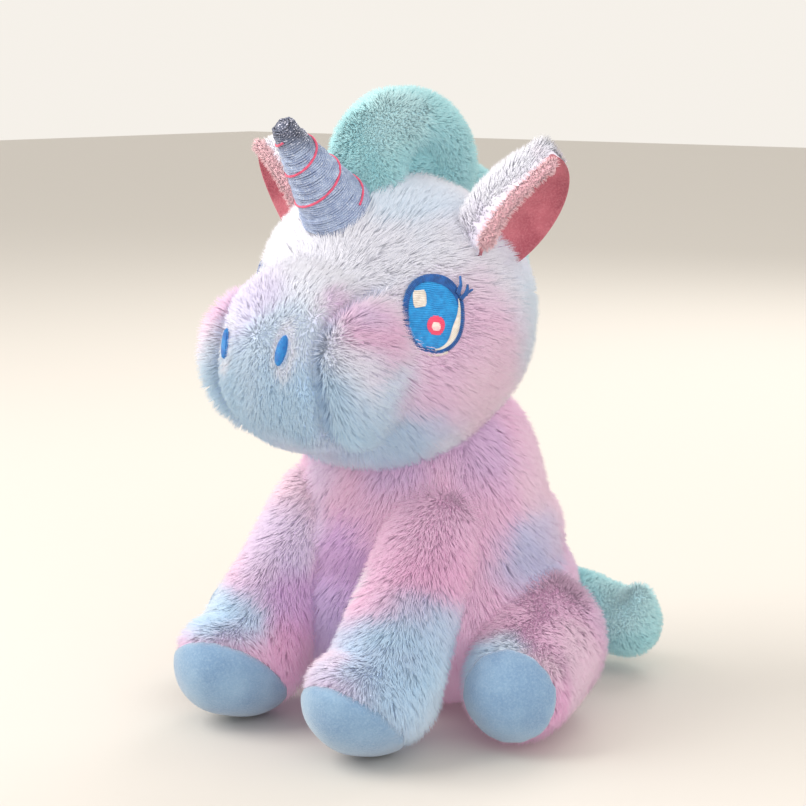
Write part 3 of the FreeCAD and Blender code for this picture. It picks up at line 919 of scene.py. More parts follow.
@dataclass
class Needle:
    """Sews thread along paths."""

    tree: bpy.types.NodeTree = field(default_factory=thread_tree)

    def sew(self, name: str, paths: Sequence[Sequence], radius: float, finish: Finish,
            sides: int = 5) -> bpy.types.Object:
        """Sew one piece of thread along each path.

        Args:
            name: the piece's name.
            paths: rows of points in millimetres.
            radius: the thread's radius in millimetres.
            finish: its finish.
            sides: the faces round the thread.

        Returns:
            The piece.
        """
        points, edges = [], []
        for path in paths:
            first = len(points)
            points.extend(path)
            edges.extend((first + i, first + i + 1) for i in range(len(path) - 1))
        thing = plain_object(name, mesh_of(name, points, edges, []))
        tree_input(thing, self.tree, {"Radius": radius * MM, "Sides": sides, "Material": finish.make()})
        return applied(thing)


# ---------------------------------------------------------------------- parts


FUR_SINK = 6.0  # how far the skin lies below the pile's surface, in millimetres
AQUA_SINK = 3.6  # the same for the mane and tail
STITCH = (0, 0.33, 0.67, 1)  # where a short stitch's points are along it


def dress(skin: bpy.types.Object, dye: np.ndarray, cut: np.ndarray | None = None,
          growth: np.ndarray | None = None) -> None:
    """Store what the pile needs on a skin, and give it its backing finish."""
    count = len(skin.data.vertices)
    store(skin.data, "dye", dye)
    store(skin.data, "cut", np.ones(count) if cut is None else cut)
    store(skin.data, "growth", np.ones(count) if growth is None else growth)
    skin.data.materials.clear()
    skin.data.materials.append(SkinFinish().make())


def mirrored(patches: Sequence[Patch]) -> list[Patch]:
    """Return patches and their mirror images."""
    both = list(patches)
    for patch in patches:
        x, y, z = patch.at
        both.append(Patch((-x, y, z), patch.reach, patch.dye, patch.strength))
    return both


@dataclass
class Head:
    """Head skin with its muzzle seam, pile, eyes and nostrils. Sizes in millimetres."""

    skull_at: tuple = (0, -8, 192)
    skull: tuple = (71, 66, 68)
    cheek_at: tuple = (0, -22, 175)
    cheek: tuple = (67, 60, 57)
    muzzle_at: tuple = (0, -64, 177)
    muzzle: tuple = (54, 46, 47)
    seam_deep: float = 9.0
    seam_wide: float = 4.0
    crease_shade: tuple = (0.50, 0.42, 0.28)
    puff: float = 3.2
    eye_at: tuple = (58, -46, 199)
    eye_turn: float = 56
    eye_half: tuple = (13.9, 17.5)
    eye_power: float = 2.25
    eye_sink: float = 3.4
    socket_deep: float = 1.2
    nostril_at: tuple = (17.5, -103, 186)
    nostril_turn: float = 18
    nostril_half: tuple = (2.6, 6.0)

    def seam_gap(self, points: np.ndarray) -> np.ndarray:
        """Signed distance outwards from the seam between the nose panel and the cheek."""
        line = np.interp(points[:, 2], (132, 140, 150, 163, 188, 208, 216), (15, 19, 25, 29.5, 28.5, 31, 36))
        return np.abs(points[:, 0]) - line

    def seam_reach(self, points: np.ndarray) -> np.ndarray:
        """1 along the seam, fading out above the nose and under the jaw."""
        return (1 - smooth(points[:, 1], -58, -46)) * (1 - smooth(points[:, 2], 202, 218))

    def seam_share(self, points: np.ndarray) -> np.ndarray:
        """How strongly the seam pulls the cloth in."""
        return bell(self.seam_gap(points), self.seam_wide) * self.seam_reach(points)

    def axes(self, side: int, turn: float) -> tuple[Vector, Vector]:
        """The way a face feature faces, and the way to its rear."""
        angle = math.radians(turn)
        facing = Vector((side * math.sin(angle), -math.cos(angle), 0))
        return facing, Vector((side * math.cos(angle), math.sin(angle), 0))

    def oval_share(self, points: np.ndarray, at: tuple, half: tuple, turn: float) -> np.ndarray:
        """Distance from a face feature on both sides, where 1 is its outline."""
        best = np.full(len(points), 9.0)
        for _, side in SIDES:
            facing, rear = self.axes(side, turn)
            off = points - np.array((side * at[0], at[1], at[2]))
            across = off @ np.array(rear) / half[0]
            away = np.sqrt(across ** 2 + (off[:, 2] / half[1]) ** 2)
            best = np.where(off @ np.array(facing) > -14, np.minimum(best, away), best)
        return best

    def comb(self, points: np.ndarray) -> np.ndarray:
        """Pile runs back from the nose, down the cheeks and away from the crown."""
        flow = unit(points - np.array((0, -104, 190)))
        flow = flow + np.array((0, 0.25, -0.55)) + billow(points, 18, 5) * 0.5
        gap = self.seam_gap(points)
        parting = bell(gap, 9) * self.seam_reach(points) * np.sign(gap) * np.sign(points[:, 0])
        return flow + parting[:, None] * np.array((2.2, 0.6, 0))

    def build(self, furrier: Furrier, needle: Needle) -> None:
        """Build the head."""
        parts = [Lump(self.skull_at, self.skull), Lump(self.cheek_at, self.cheek),
                 Lump(self.muzzle_at, self.muzzle)]
        skin = stuffed_mesh("head_skin", parts, -FUR_SINK, 2.8, 14)
        points = places(skin.data)
        share = self.seam_share(points)
        gap = self.seam_gap(points)
        front = (1 - smooth(points[:, 1], -70, -45)) * (1 - smooth(points[:, 2], 196, 214))
        puff = bell(gap - 12, 9) * front
        eye = self.oval_share(points, self.eye_at, self.eye_half, self.eye_turn)
        socket = bell(np.maximum(eye - 0.9, 0), 0.35)
        wobble = ripple(points, 26, 3)
        pushed(skin, -self.seam_deep * share + self.puff * puff + 1.3 * wobble - self.socket_deep * socket)
        inflate(skin, np.clip(share * 1.3 + socket, 0, 1), 2.5)
        points = places(skin.data)
        nostril = self.oval_share(points, self.nostril_at, self.nostril_half, self.nostril_turn)
        front = (1 - smooth(points[:, 1], -66, -50)) * (1 - smooth(points[:, 2], 205, 225))
        panel = (1 - smooth(gap, -3, 1)) * front
        cut = 1 - 0.45 * panel - 0.6 * share - 0.5 * bell(eye - 1, 0.3) - 0.25 * bell(nostril - 1, 0.5)
        growth = smooth(eye, 0.86, 0.98) * smooth(nostril, 0.8, 1.15)
        growth *= smooth(np.linalg.norm(points - np.array(hinge_of("horn_bend")), axis=1), 13, 16)
        dye = dyed(points, Dye.SNOW, self.patches())
        # painted shade: the dye is darkened along the muzzle seam's crease, and the stored dye carries it
        seam_shadow = bell(self.seam_gap(points), 2.4) * self.seam_reach(points)
        dye[:, :3] *= 1 - np.array(self.crease_shade) * seam_shadow[:, None]
        ring = bell(nostril - 1.6, 0.55)[:, None] * 0.8
        dye = dye * (1 - ring) + np.array(Dye.SNOW.rgba) ** FIBRE_LIGHT * ring
        dress(skin, dye, np.clip(cut, 0.28, 1), growth)
        finish_piece(skin, "head", "fur_plush", ["head_cover", "muzzle_panel", "head_stuffing"])
        furrier.grow(skin, "head_pile", "head", "fur_plush", FUR, 1, self.comb)
        for side_name, side in SIDES:
            self.eye(needle, side_name, side)
            self.nostril(needle, side_name, side)

    def patches(self) -> list[Patch]:
        """The head's dye."""
        both = mirrored([
            Patch((30, -100, 150), 34, Dye.SKY, 0.9), Patch((48, -60, 148), 40, Dye.SKY, 0.75),
            Patch((62, -30, 180), 40, Dye.PINK, 0.85), Patch((44, -76, 200), 22, Dye.ROSE, 0.75),
            Patch((40, -80, 212), 16, Dye.LILAC, 0.6), Patch((58, -8, 160), 30, Dye.BLUSH, 0.8),
            Patch((36, -52, 132), 30, Dye.SLATE, 0.55), Patch((50, 20, 235), 30, Dye.LILAC, 0.6),
            Patch((62, 30, 190), 34, Dye.MIST, 0.8), Patch((40, 52, 160), 34, Dye.PINK, 0.5),
        ])
        return both + [
            Patch((0, -108, 172), 42, Dye.SKY, 0.8), Patch((-16, -96, 208), 24, Dye.LILAC, 0.7),
            Patch((0, -70, 236), 30, Dye.SNOW, 0.8), Patch((24, -30, 250), 26, Dye.MIST, 0.8),
            Patch((0, -60, 130), 30, Dye.SLATE, 0.5), Patch((14, -104, 196), 16, Dye.MIST, 0.6),
        ]

    def on_skin(self, at: tuple, facing: Vector, rear: Vector, side: int, centre: tuple, radii: tuple,
                sink: float, across: float, high: float) -> Vector:
        """Drop a point of a face feature onto an ellipsoid below the pile's surface."""
        start = Vector((side * at[0], at[1], at[2])) + rear * across + UP * high + facing * 30
        sizes = Vector([r - sink for r in radii])
        a = Vector([c / s for c, s in zip(facing, sizes)])
        b = Vector([(c - m) / s for c, m, s in zip(start, centre, sizes)])
        half = a.dot(b)
        root = max(half * half - a.dot(a) * (b.dot(b) - 1), 0)
        return start + facing * ((-half + math.sqrt(root)) / a.dot(a))

    def eye_point(self, side: int, across: float, high: float, lift: float) -> Vector:
        """A point of an eye, lifted above its backing."""
        facing, rear = self.axes(side, self.eye_turn)
        sink = self.eye_sink - lift
        return self.on_skin(self.eye_at, facing, rear, side, self.skull_at, self.skull, sink, across, high)

    def rows(self, side: int, shape: Callable[[float], tuple[float, float] | None], low: float, high: float,
             pitch: float, lift: float, seed: float) -> list[list[Vector]]:
        """Rows of satin stitch between a shape's left and right edges."""
        paths = []
        for step in range(int((high - low) / pitch) + 1):
            level = low + pitch * step
            ends = shape(level)
            if ends is None or ends[1] - ends[0] < 0.5:
                continue
            count = max(4, int((ends[1] - ends[0]) / 1.6))
            path = []
            for index in range(count + 1):
                share = index / count
                across = ends[0] + (ends[1] - ends[0]) * share
                wave = noise.noise(Vector((across * 0.16, level * 0.11, seed))) * 0.9
                arch = lift + 0.35 * math.sin(math.pi * share) ** 0.5
                path.append(self.eye_point(side, across, level + wave, arch))
            paths.append(path)
        return paths

    def eye(self, needle: Needle, side_name: str, side: int) -> None:
        """One embroidered eye, in layers."""
        wide, high = self.eye_half
        power = self.eye_power

        def oval(half_wide: float, half_high: float, x: float = 0.0, y: float = 0.0,
                 bend: float = power) -> Callable[[float], tuple[float, float] | None]:
            """The ends of a row of a rounded oval."""
            def ends(level: float) -> tuple[float, float] | None:
                rest = 1 - abs((level - y) / half_high) ** bend
                reach = half_wide * rest ** (1 / bend) if rest > 0 else 0
                return (x - reach, x + reach) if reach else None
            return ends

        def band(inner: float, outer: Callable[[float], float], lift: float, start: float = 0,
                 turn: float = 360, pitch: float = 0.75) -> list[list[Vector]]:
            """Short stitches across a band inside the eye's outline."""
            paths = []
            stitches = turn / 360 * 96 / pitch
            for step in range(int(stitches)):
                angle = math.radians(start + turn * step / stitches)
                cosine, sine = math.cos(angle), math.sin(angle)
                grow = (abs(cosine) ** power + abs(sine) ** power) ** (-1 / power)
                x, y = wide * cosine * grow, high * sine * grow
                length = math.hypot(x, y)
                rim = outer(math.degrees(angle))
                path = []
                for share in STITCH:
                    inwards = 1 - (inner + (rim - inner) * share) / length
                    rise = lift + 0.45 * math.sin(math.pi * share)
                    path.append(self.eye_point(side, x * inwards, y * inwards, rise))
                paths.append(path)
            return paths

        def near(angle: float, at: float, width: float) -> float:
            """1 at an angle in degrees, fading out over a width on both sides."""
            return math.exp(-(((angle - at + 180) % 360 - 180) / width) ** 2)

        def heavy(angle: float) -> float:
            """The outline is thicker towards the top rear."""
            return 2.3 + 1.7 * near(angle, 62, 42)

        def moon(angle: float) -> float:
            """The crescent's depth, widest low at the rear."""
            return 2.0 + 3.4 * near(angle, -32, 34)

        iris = self.rows(side, oval(wide - 0.8, high - 0.8), -high, high, 0.78, 0.0, 3.0)
        highlight = self.rows(side, oval(2.9, 3.8, -6.4, 7.2, 3.2), 3.4, 11.0, 0.7, 0.6, 5.0)
        spot = self.rows(side, oval(4.0, 4.3, 0.4, -4.8, 2), -9.1, -0.5, 0.7, 0.6, 6.0)
        heart = self.rows(side, oval(2.0, 2.1, 0.4, -4.8, 2), -6.9, -2.7, 0.6, 0.9, 7.0)
        glint = band(-0.9, lambda angle: 0.2, 0.5, -125, 62, 0.6)
        crescent = band(1.9, moon, 0.55, -88, 116, 0.7)
        sewn = (("iris", iris, 0.48, AZURE_THREAD, "thread_blue"),
                ("outline", band(0.0, heavy, 0.45), 0.42, NAVY_THREAD, "thread_dark_blue"),
                ("crescent", crescent, 0.4, CREAM_THREAD, "thread_cream"),
                ("highlight", highlight, 0.42, CREAM_THREAD, "thread_cream"),
                ("spot", spot, 0.42, CORAL_THREAD, "thread_pink"),
                ("lashes", self.lashes(side), 0.55, NAVY_THREAD, "thread_dark_blue"))
        for part, paths, radius, finish, slot in sewn:
            piece = needle.sew(f"eye_{part}_{side_name}_stitch", paths, radius, finish)
            finish_piece(piece, "head", slot, [f"eye_{part}_{side_name}"])
        piece = needle.sew(f"eye_spot_{side_name}_heart", heart, 0.4, PETAL_THREAD)
        finish_piece(piece, "head", "thread_pink")
        piece = needle.sew(f"eye_edge_{side_name}_stitch", glint, 0.35, CREAM_THREAD)
        finish_piece(piece, "head", "thread_cream")
        self.backing(side_name, side, oval(wide - 0.3, high - 0.3))

    def lashes(self, side: int) -> list[list[Vector]]:
        """Two forked lashes at the top rear of the eye."""
        strokes = (((10.6, 9.0), (12.4, 12.6), (12.6, 16.4)), ((11.9, 6.8), (14.6, 9.0), (18.0, 10.4)),
                   ((14.2, 8.4), (15.4, 10.6), (15.8, 12.6)))
        paths = []
        for stroke in strokes:
            for shift in (-0.45, 0.0, 0.45):
                path = [self.eye_point(side, x + shift * (1 - i / 2), y - shift * (1 - i / 2), 2.6 - 0.3 * i)
                        for i, (x, y) in enumerate(stroke)]
                paths.append(path)
        return paths

    def backing(self, side_name: str, side: int, shape: Callable) -> None:
        """The cloth below an eye's stitches, as a thin closed plate."""
        points, columns = [], 12
        levels = np.linspace(-self.eye_half[1] + 0.6, self.eye_half[1] - 0.6, 24)
        for lift in (-0.2, -2.4):
            for level in levels:
                low, high = shape(float(level))
                points += [self.eye_point(side, low + (high - low) * i / columns, float(level), lift)
                           for i in range(columns + 1)]
        plate = plate_of(f"eye_backing_{side_name}", points, columns + 1)
        plate.data.materials.append(AZURE_THREAD.make())
        finish_piece(plate, "head", "thread_blue")

    def nostril(self, needle: Needle, side_name: str, side: int) -> None:
        """One nostril in satin stitch."""
        facing, rear = self.axes(side, self.nostril_turn)
        wide, high = self.nostril_half
        paths = []
        for inset, lift in ((0.0, 0.0), (0.5, 0.5)):
            for step in range(19):
                level = (high - inset) * (step / 9 - 1)
                reach = (wide - inset) * math.sqrt(max(1 - (level / (high - inset + 0.2)) ** 2, 0.02))
                path = []
                for share in STITCH:
                    across = -reach + 2 * reach * share
                    sink = 4.6 - lift - 0.6 * math.sin(math.pi * share)
                    path.append(self.on_skin(self.nostril_at, facing, rear, side, self.muzzle_at, self.muzzle,
                                             sink, across + 0.14 * level, level + 0.3 * across))
                paths.append(path)
        piece = needle.sew(f"nostril_{side_name}_stitch", paths, 0.5, NOSTRIL_THREAD)
        finish_piece(piece, "head", "thread_blue", [f"nostril_{side_name}"])


@dataclass
class Torso:
    """Torso skin and pile."""

    rump_at: tuple = (0, 20, 54)
    rump: tuple = (75, 72, 58)
    chest_at: tuple = (0, 15, 104)
    chest: tuple = (62, 60, 64)
    waist_at: tuple = (0, 18, 82)
    waist: tuple = (69.5, 67, 46)
    top: float = 150.0
    top_squash: float = 0.7

    def comb(self, points: np.ndarray) -> np.ndarray:
        """Pile hangs down and a little outwards."""
        flow = np.tile(np.array((0.0, 0.0, -1.0)), (len(points), 1))
        flow += unit(points - np.array((0, 15, 120))) * 0.35
        return flow + billow(points, 20, 8) * 0.5

    def build(self, furrier: Furrier) -> None:
        """Build the torso."""
        parts = [Lump(self.rump_at, self.rump), Lump(self.chest_at, self.chest),
                 Lump(self.waist_at, self.waist)]
        skin = stuffed_mesh("torso_skin", parts, -FUR_SINK, 3.0, 14)
        points = pushed(skin, 1.6 * ripple(places(skin.data), 30, 12, 0.6))
        inflate(skin, smooth(points[:, 2], 138, 146) + 1 - smooth(points[:, 2], 3, 6), 2.0)
        points = places(skin.data)
        over = np.maximum(points[:, 2] - self.top, 0)
        points[:, 2] -= over * self.top_squash
        set_places(skin.data, lifted(points, 1.0 + 0.02 * points[:, 2]))
        from_neck = np.hypot(points[:, 0], points[:, 1] - 10)
        covered = smooth(points[:, 2], 134, 146) * (1 - smooth(from_neck, 30, 44))
        growth = smooth(points[:, 2], 1.2, 4.0) * (1 - covered)
        dye = dyed(points, Dye.PINK, [
            Patch((0, 60, 60), 60, Dye.LILAC, 0.8), Patch((0, 84, 70), 36, Dye.MIST, 0.85),
            Patch((0, 70, 120), 34, Dye.PINK, 0.7), Patch((60, 22, 84), 26, Dye.SLATE, 0.7),
            Patch((-60, 22, 84), 30, Dye.SKY, 0.7), Patch((52, 40, 110), 28, Dye.BLUSH, 0.7),
            Patch((0, -44, 112), 40, Dye.PINK, 0.9), Patch((18, -30, 134), 22, Dye.VIOLET, 0.45),
            Patch((-22, -36, 128), 20, Dye.LILAC, 0.6), Patch((46, 0, 136), 24, Dye.VIOLET, 0.4),
            Patch((0, -50, 70), 40, Dye.PURPLE, 0.8), Patch((-30, -40, 96), 22, Dye.LILAC, 0.6),
            Patch((0, -48, 30), 44, Dye.VIOLET, 0.7), Patch((40, 60, 30), 34, Dye.PINK, 0.6),
            Patch((-40, 60, 40), 34, Dye.LILAC, 0.6),
        ])
        dress(skin, dye, None, growth)
        sewn = ["torso_cover", "torso_stuffing", "seat_panel", "bean_pouch", "neck_stuffing"]
        finish_piece(skin, "torso", "fur_plush", sewn)
        furrier.grow(skin, "torso_pile", "torso", "fur_plush", FUR, 2, self.comb)
        self.neck()

    def neck(self) -> None:
        """The gusset between head and torso, a low roll hidden by the pile."""
        at = hinge_of("head_turn")
        skin = stuffed_mesh("neck_gusset_skin", [Lump((at.x, at.y, at.z + 8), (40, 40, 22))], 0.0, 3.0, 4)
        dress(skin, dyed(places(skin.data), Dye.LILAC, []))
        finish_piece(skin, "neck", "fur_plush", ["neck_gusset"])


@dataclass
class Limb:
    """A leg: furred skin with a velvet cap beyond a seam plane."""

    name: str
    side_name: str
    parts: tuple
    seam_at: tuple
    seam_way: tuple
    cap: str
    patches: tuple
    seed: int
    cap_grow: float = -0.6
    tuck: float = 2.0
    fibres_down: tuple = (0, 0, -1)

    def seam_gap(self, points: np.ndarray) -> np.ndarray:
        """Distance beyond the seam plane, towards the cap."""
        return (points - np.array(self.seam_at)) @ np.array(Vector(self.seam_way).normalized())

    def comb(self, points: np.ndarray) -> np.ndarray:
        """Pile runs down the leg."""
        flow = np.tile(np.array(self.fibres_down, dtype=float), (len(points), 1))
        return flow + billow(points, 16, self.seed) * 0.5

    def skin(self) -> bpy.types.Object:
        """The stuffed leg below its pile."""
        skin = stuffed_mesh(f"{self.name}_{self.side_name}_skin", self.parts, -FUR_SINK, 2.6, 9)
        points = places(skin.data)
        gap = self.seam_gap(points)
        pinch = bell(gap, 4.0) * 1.6
        pushed(skin, ripple(points, 22, self.seed + 20) * 1.3 - pinch)
        inflate(skin, bell(gap, 5.0), 1.5)
        set_places(skin.data, lifted(places(skin.data), 1.2))
        return skin

    def cap_mesh(self) -> bpy.types.Object:
        """The velvet cap: a closed, puffed form that curls under at its seam."""
        name = f"{self.cap}_{self.side_name}_velvet"
        cap = stuffed_mesh(name, self.parts, self.cap_grow, 2.0, 12)
        way = Vector(self.seam_way).normalized()

        def cut_off(bm: bmesh.types.BMesh) -> None:
            """Keep what is beyond the seam, and close it."""
            cut = bmesh.ops.bisect_plane(bm, geom=bm.verts[:] + bm.edges[:] + bm.faces[:],
                                         plane_co=(Vector(self.seam_at) - way * self.tuck) * MM,
                                         plane_no=way, clear_inner=True)
            rim = [item for item in cut["geom_cut"] if isinstance(item, bmesh.types.BMEdge)]
            bmesh.ops.holes_fill(bm, edges=rim, sides=0)
            bmesh.ops.triangulate(bm, faces=[face for face in bm.faces if len(face.verts) > 4])

        rework(cap.data, cut_off)
        points = places(cap.data)
        gap = self.seam_gap(points)
        near = np.clip(1 - (gap + self.tuck) / 5.0, 0, 1) ** 2
        radial = points - points.mean(0)
        radial -= (radial @ np.array(way))[:, None] * np.array(way)
        points = points - unit(radial) * (near * 4.0)[:, None]
        set_places(cap.data, points)
        inflate(cap, (gap < 0.5).astype(float), 1.6)
        points = places(cap.data)
        gathers = np.array([noise.noise(Vector(point) / 5.5) for point in points])
        pucker = gathers * bell(gap - 1.0, 3.2) * 0.6
        pushed(cap, pucker + ripple(points, 17, self.seed + 40) * 0.8, 0.4)
        cap.data.materials.clear()
        cap.data.materials.append(HOOF_VELVET.make())
        return cap

    def build(self, furrier: Furrier) -> None:
        """Build the leg."""
        skin = self.skin()
        points = places(skin.data)
        gap = self.seam_gap(points)
        growth = (1 - smooth(gap, -2.0, 0.5)) * smooth(points[:, 2], 1.3, 3.5)
        cut = 1 - 0.35 * smooth(gap, -9, 0)
        dress(skin, dyed(points, Dye.PINK, self.patches), cut, growth)
        body = f"{self.name}_{self.side_name}"
        finish_piece(skin, body, "fur_plush", [f"{body}_cover", f"{body}_stuffing"])
        furrier.grow(skin, f"{body}_pile", body, "fur_plush", FUR, self.seed, self.comb)
        cap = self.cap_mesh()
        finish_piece(cap, body, "hoof_velvet", [f"{self.cap}_{self.side_name}"])


@dataclass
class Legs:
    """All four legs."""

    front_spread: float = 41.0
    hind_spread: float = 83.0
    hind_turn: float = 20.0
    pad_ahead: float = 11.0

    def build(self, furrier: Furrier) -> None:
        """Build the legs."""
        for side_name, side in SIDES:
            self.front(side_name, side).build(furrier)
            self.hind(side_name, side).build(furrier)

    def front(self, side_name: str, side: int) -> Limb:
        """A front leg, with a boot-like hoof."""
        top = hinge_of(f"front_leg_{side_name}_swing")
        x = side * self.front_spread
        shin = Roll(((tuple(top), 24), ((x, -60, 38), 28.5)))
        parts = (shin, Lump((x, -70, 28.6), (28, 38, 28), -6))
        if side > 0:
            seam_at, seam_way = (x, -83, 22), (0, -0.66, -0.75)
            patches = (
                Patch((44, -28, 96), 34, Dye.PINK, 0.9), Patch((56, -40, 76), 24, Dye.ROSE, 0.45),
                Patch((16, -50, 66), 16, Dye.SNOW, 0.75), Patch((46, -66, 34), 36, Dye.SKY, 0.95),
                Patch((62, -50, 46), 30, Dye.SKY, 0.8), Patch((24, -88, 50), 15, Dye.BLUSH, 0.8),
                Patch((60, -40, 14), 30, Dye.MIST, 0.8), Patch((14, -60, 40), 20, Dye.LILAC, 0.7))
        else:
            seam_at, seam_way = (x, -80, 25), (0.22, -0.66, -0.72)
            patches = (
                Patch((-50, -30, 92), 34, Dye.BLUSH, 0.9), Patch((-18, -52, 60), 22, Dye.PURPLE, 0.75),
                Patch((-14, -60, 34), 22, Dye.ROSE, 0.6), Patch((-46, -74, 50), 24, Dye.SKY, 0.95),
                Patch((-60, -56, 44), 26, Dye.MIST, 0.9), Patch((-34, -50, 84), 22, Dye.LILAC, 0.7),
                Patch((-60, -50, 16), 26, Dye.SKY, 0.8))
        return Limb("front_leg", side_name, parts, seam_at, seam_way,
                    "front_hoof", patches, 3 + (side < 0), fibres_down=(0, -0.5, -0.85))

    def hind(self, side_name: str, side: int) -> Limb:
        """A hind leg that sits folded, with a round pad on its sole."""
        hip = hinge_of(f"hind_leg_{side_name}_lift")
        x = side * self.hind_spread
        turn = math.radians(self.hind_turn)
        way = (side * math.sin(turn), -math.cos(turn), 0)
        parts = (Roll((((hip.x, hip.y, 36.5), 37), ((x, -17, 27.4), 27))),)
        seam = (x + way[0] * self.pad_ahead, -19 + way[1] * self.pad_ahead, 27)
        patches = [Patch((66, 14, 60), 30, Dye.PINK, 0.9), Patch((46, -4, 62), 12, Dye.ROSE, 0.5),
                   Patch((84, -26, 52), 17, Dye.MIST, 0.95), Patch((104, -18, 18), 18, Dye.ROSE, 0.5),
                   Patch((62, 50, 40), 30, Dye.LILAC, 0.7), Patch((98, 14, 34), 22, Dye.BLUSH, 0.8),
                   Patch((66, -34, 40), 16, Dye.SKY, 0.9), Patch((98, -22, 44), 14, Dye.BLUSH, 0.9)]
        if side < 0:
            patches = mirrored(patches)[len(patches):]
        return Limb("hind_leg", side_name, parts, seam, way, "hind_foot_pad", tuple(patches),
                    5 + (side < 0), cap_grow=-0.3, fibres_down=(side * 0.3, -0.7, -0.5))


@dataclass
class Horn:
    """Horn wound with metallic thread, and the cord round it."""

    base: float = 16.3
    point: float = 5.3
    tip: tuple = (0, -79.6, 278.5)
    row: float = 0.98
    thread_radius: float = 0.6
    cord_from: float = 3.5
    cord_pitch: float = 15.5
    cord_radius: float = 0.58
    rings: int = 40
    corners: int = 32

    def axes(self) -> tuple[Vector, Vector, Vector, Vector, float]:
        """Root, the way along, two ways across and the length."""
        root = hinge_of("horn_bend")
        along = Vector(self.tip) - root
        length = along.length
        along.normalize()
        side = Vector((1, 0, 0))
        return root, along, side, along.cross(side), length

    def radius(self, high: float, length: float) -> float:
        """The horn's radius at a height above its root, with a rounded point."""
        share = min(max(high / length, 0), 1)
        straight = self.base + (self.point - self.base) * share
        if high > length:
            straight = math.sqrt(max(self.point ** 2 - (high - length) ** 2, 0.01))
        return straight

    def spiral(self, low: float, high: float, pitch: float, lift: float, steps: int,
               uneven: float) -> list[Vector]:
        """A path wound round the horn from low to high."""
        root, along, side, across, length = self.axes()
        path = []
        total = int((high - low) / pitch * steps)
        for index in range(total + 1):
            level = low + (high - low) * index / total
            angle = math.tau * index / steps
            where = Vector((math.cos(angle) * 1.7, math.sin(angle) * 1.7, level * 0.45))
            shiver = noise.noise(where) * uneven
            radius = self.radius(level, length) + lift + shiver * 0.6
            out = side * math.cos(angle) + across * math.sin(angle)
            path.append(root + along * (level + shiver) + out * radius)
        return path

    def build(self, needle: Needle) -> None:
        """Build the horn."""
        root, along, side, across, length = self.axes()
        top = length + self.point - 0.4
        count = self.corners
        points, faces = [], []
        for ring in range(self.rings + 1):
            level = -3 + (top + 3) * ring / self.rings
            for corner in range(count):
                angle = math.tau * corner / count
                out = side * math.cos(angle) + across * math.sin(angle)
                points.append(root + along * level + out * (self.radius(level, length) - 0.35))
        for ring in range(self.rings):
            for corner in range(count):
                after = (corner + 1) % count
                a, b = ring * count, (ring + 1) * count
                faces.append((a + corner, a + after, b + after, b + corner))
        points += [root + along * -6, root + along * (top + 0.2)]
        end = self.rings * count
        for corner in range(count):
            after = (corner + 1) % count
            faces.append((after, corner, len(points) - 2))
            faces.append((end + corner, end + after, len(points) - 1))
        cone = plain_object("horn_core", mesh_of("horn_core", points, [], faces))
        cone.data.materials.append(LurexFinish().make())
        finish_piece(cone, "horn", "horn_thread", ["horn_cover", "horn_stuffing"])
        winding = self.spiral(0, top - 0.6, self.row, 0.0, 44, 0.95)
        rows = needle.sew("horn_thread_rows", [winding], self.thread_radius, LurexFinish())
        finish_piece(rows, "horn", "horn_thread")
        winding = self.spiral(self.cord_from, length - 1, self.cord_pitch, 0.75, 40, 0.15)
        cord = needle.sew("horn_wound_cord", [winding], self.cord_radius, CORD_THREAD, 7)
        finish_piece(cord, "horn", "horn_cord", ["horn_cord"])


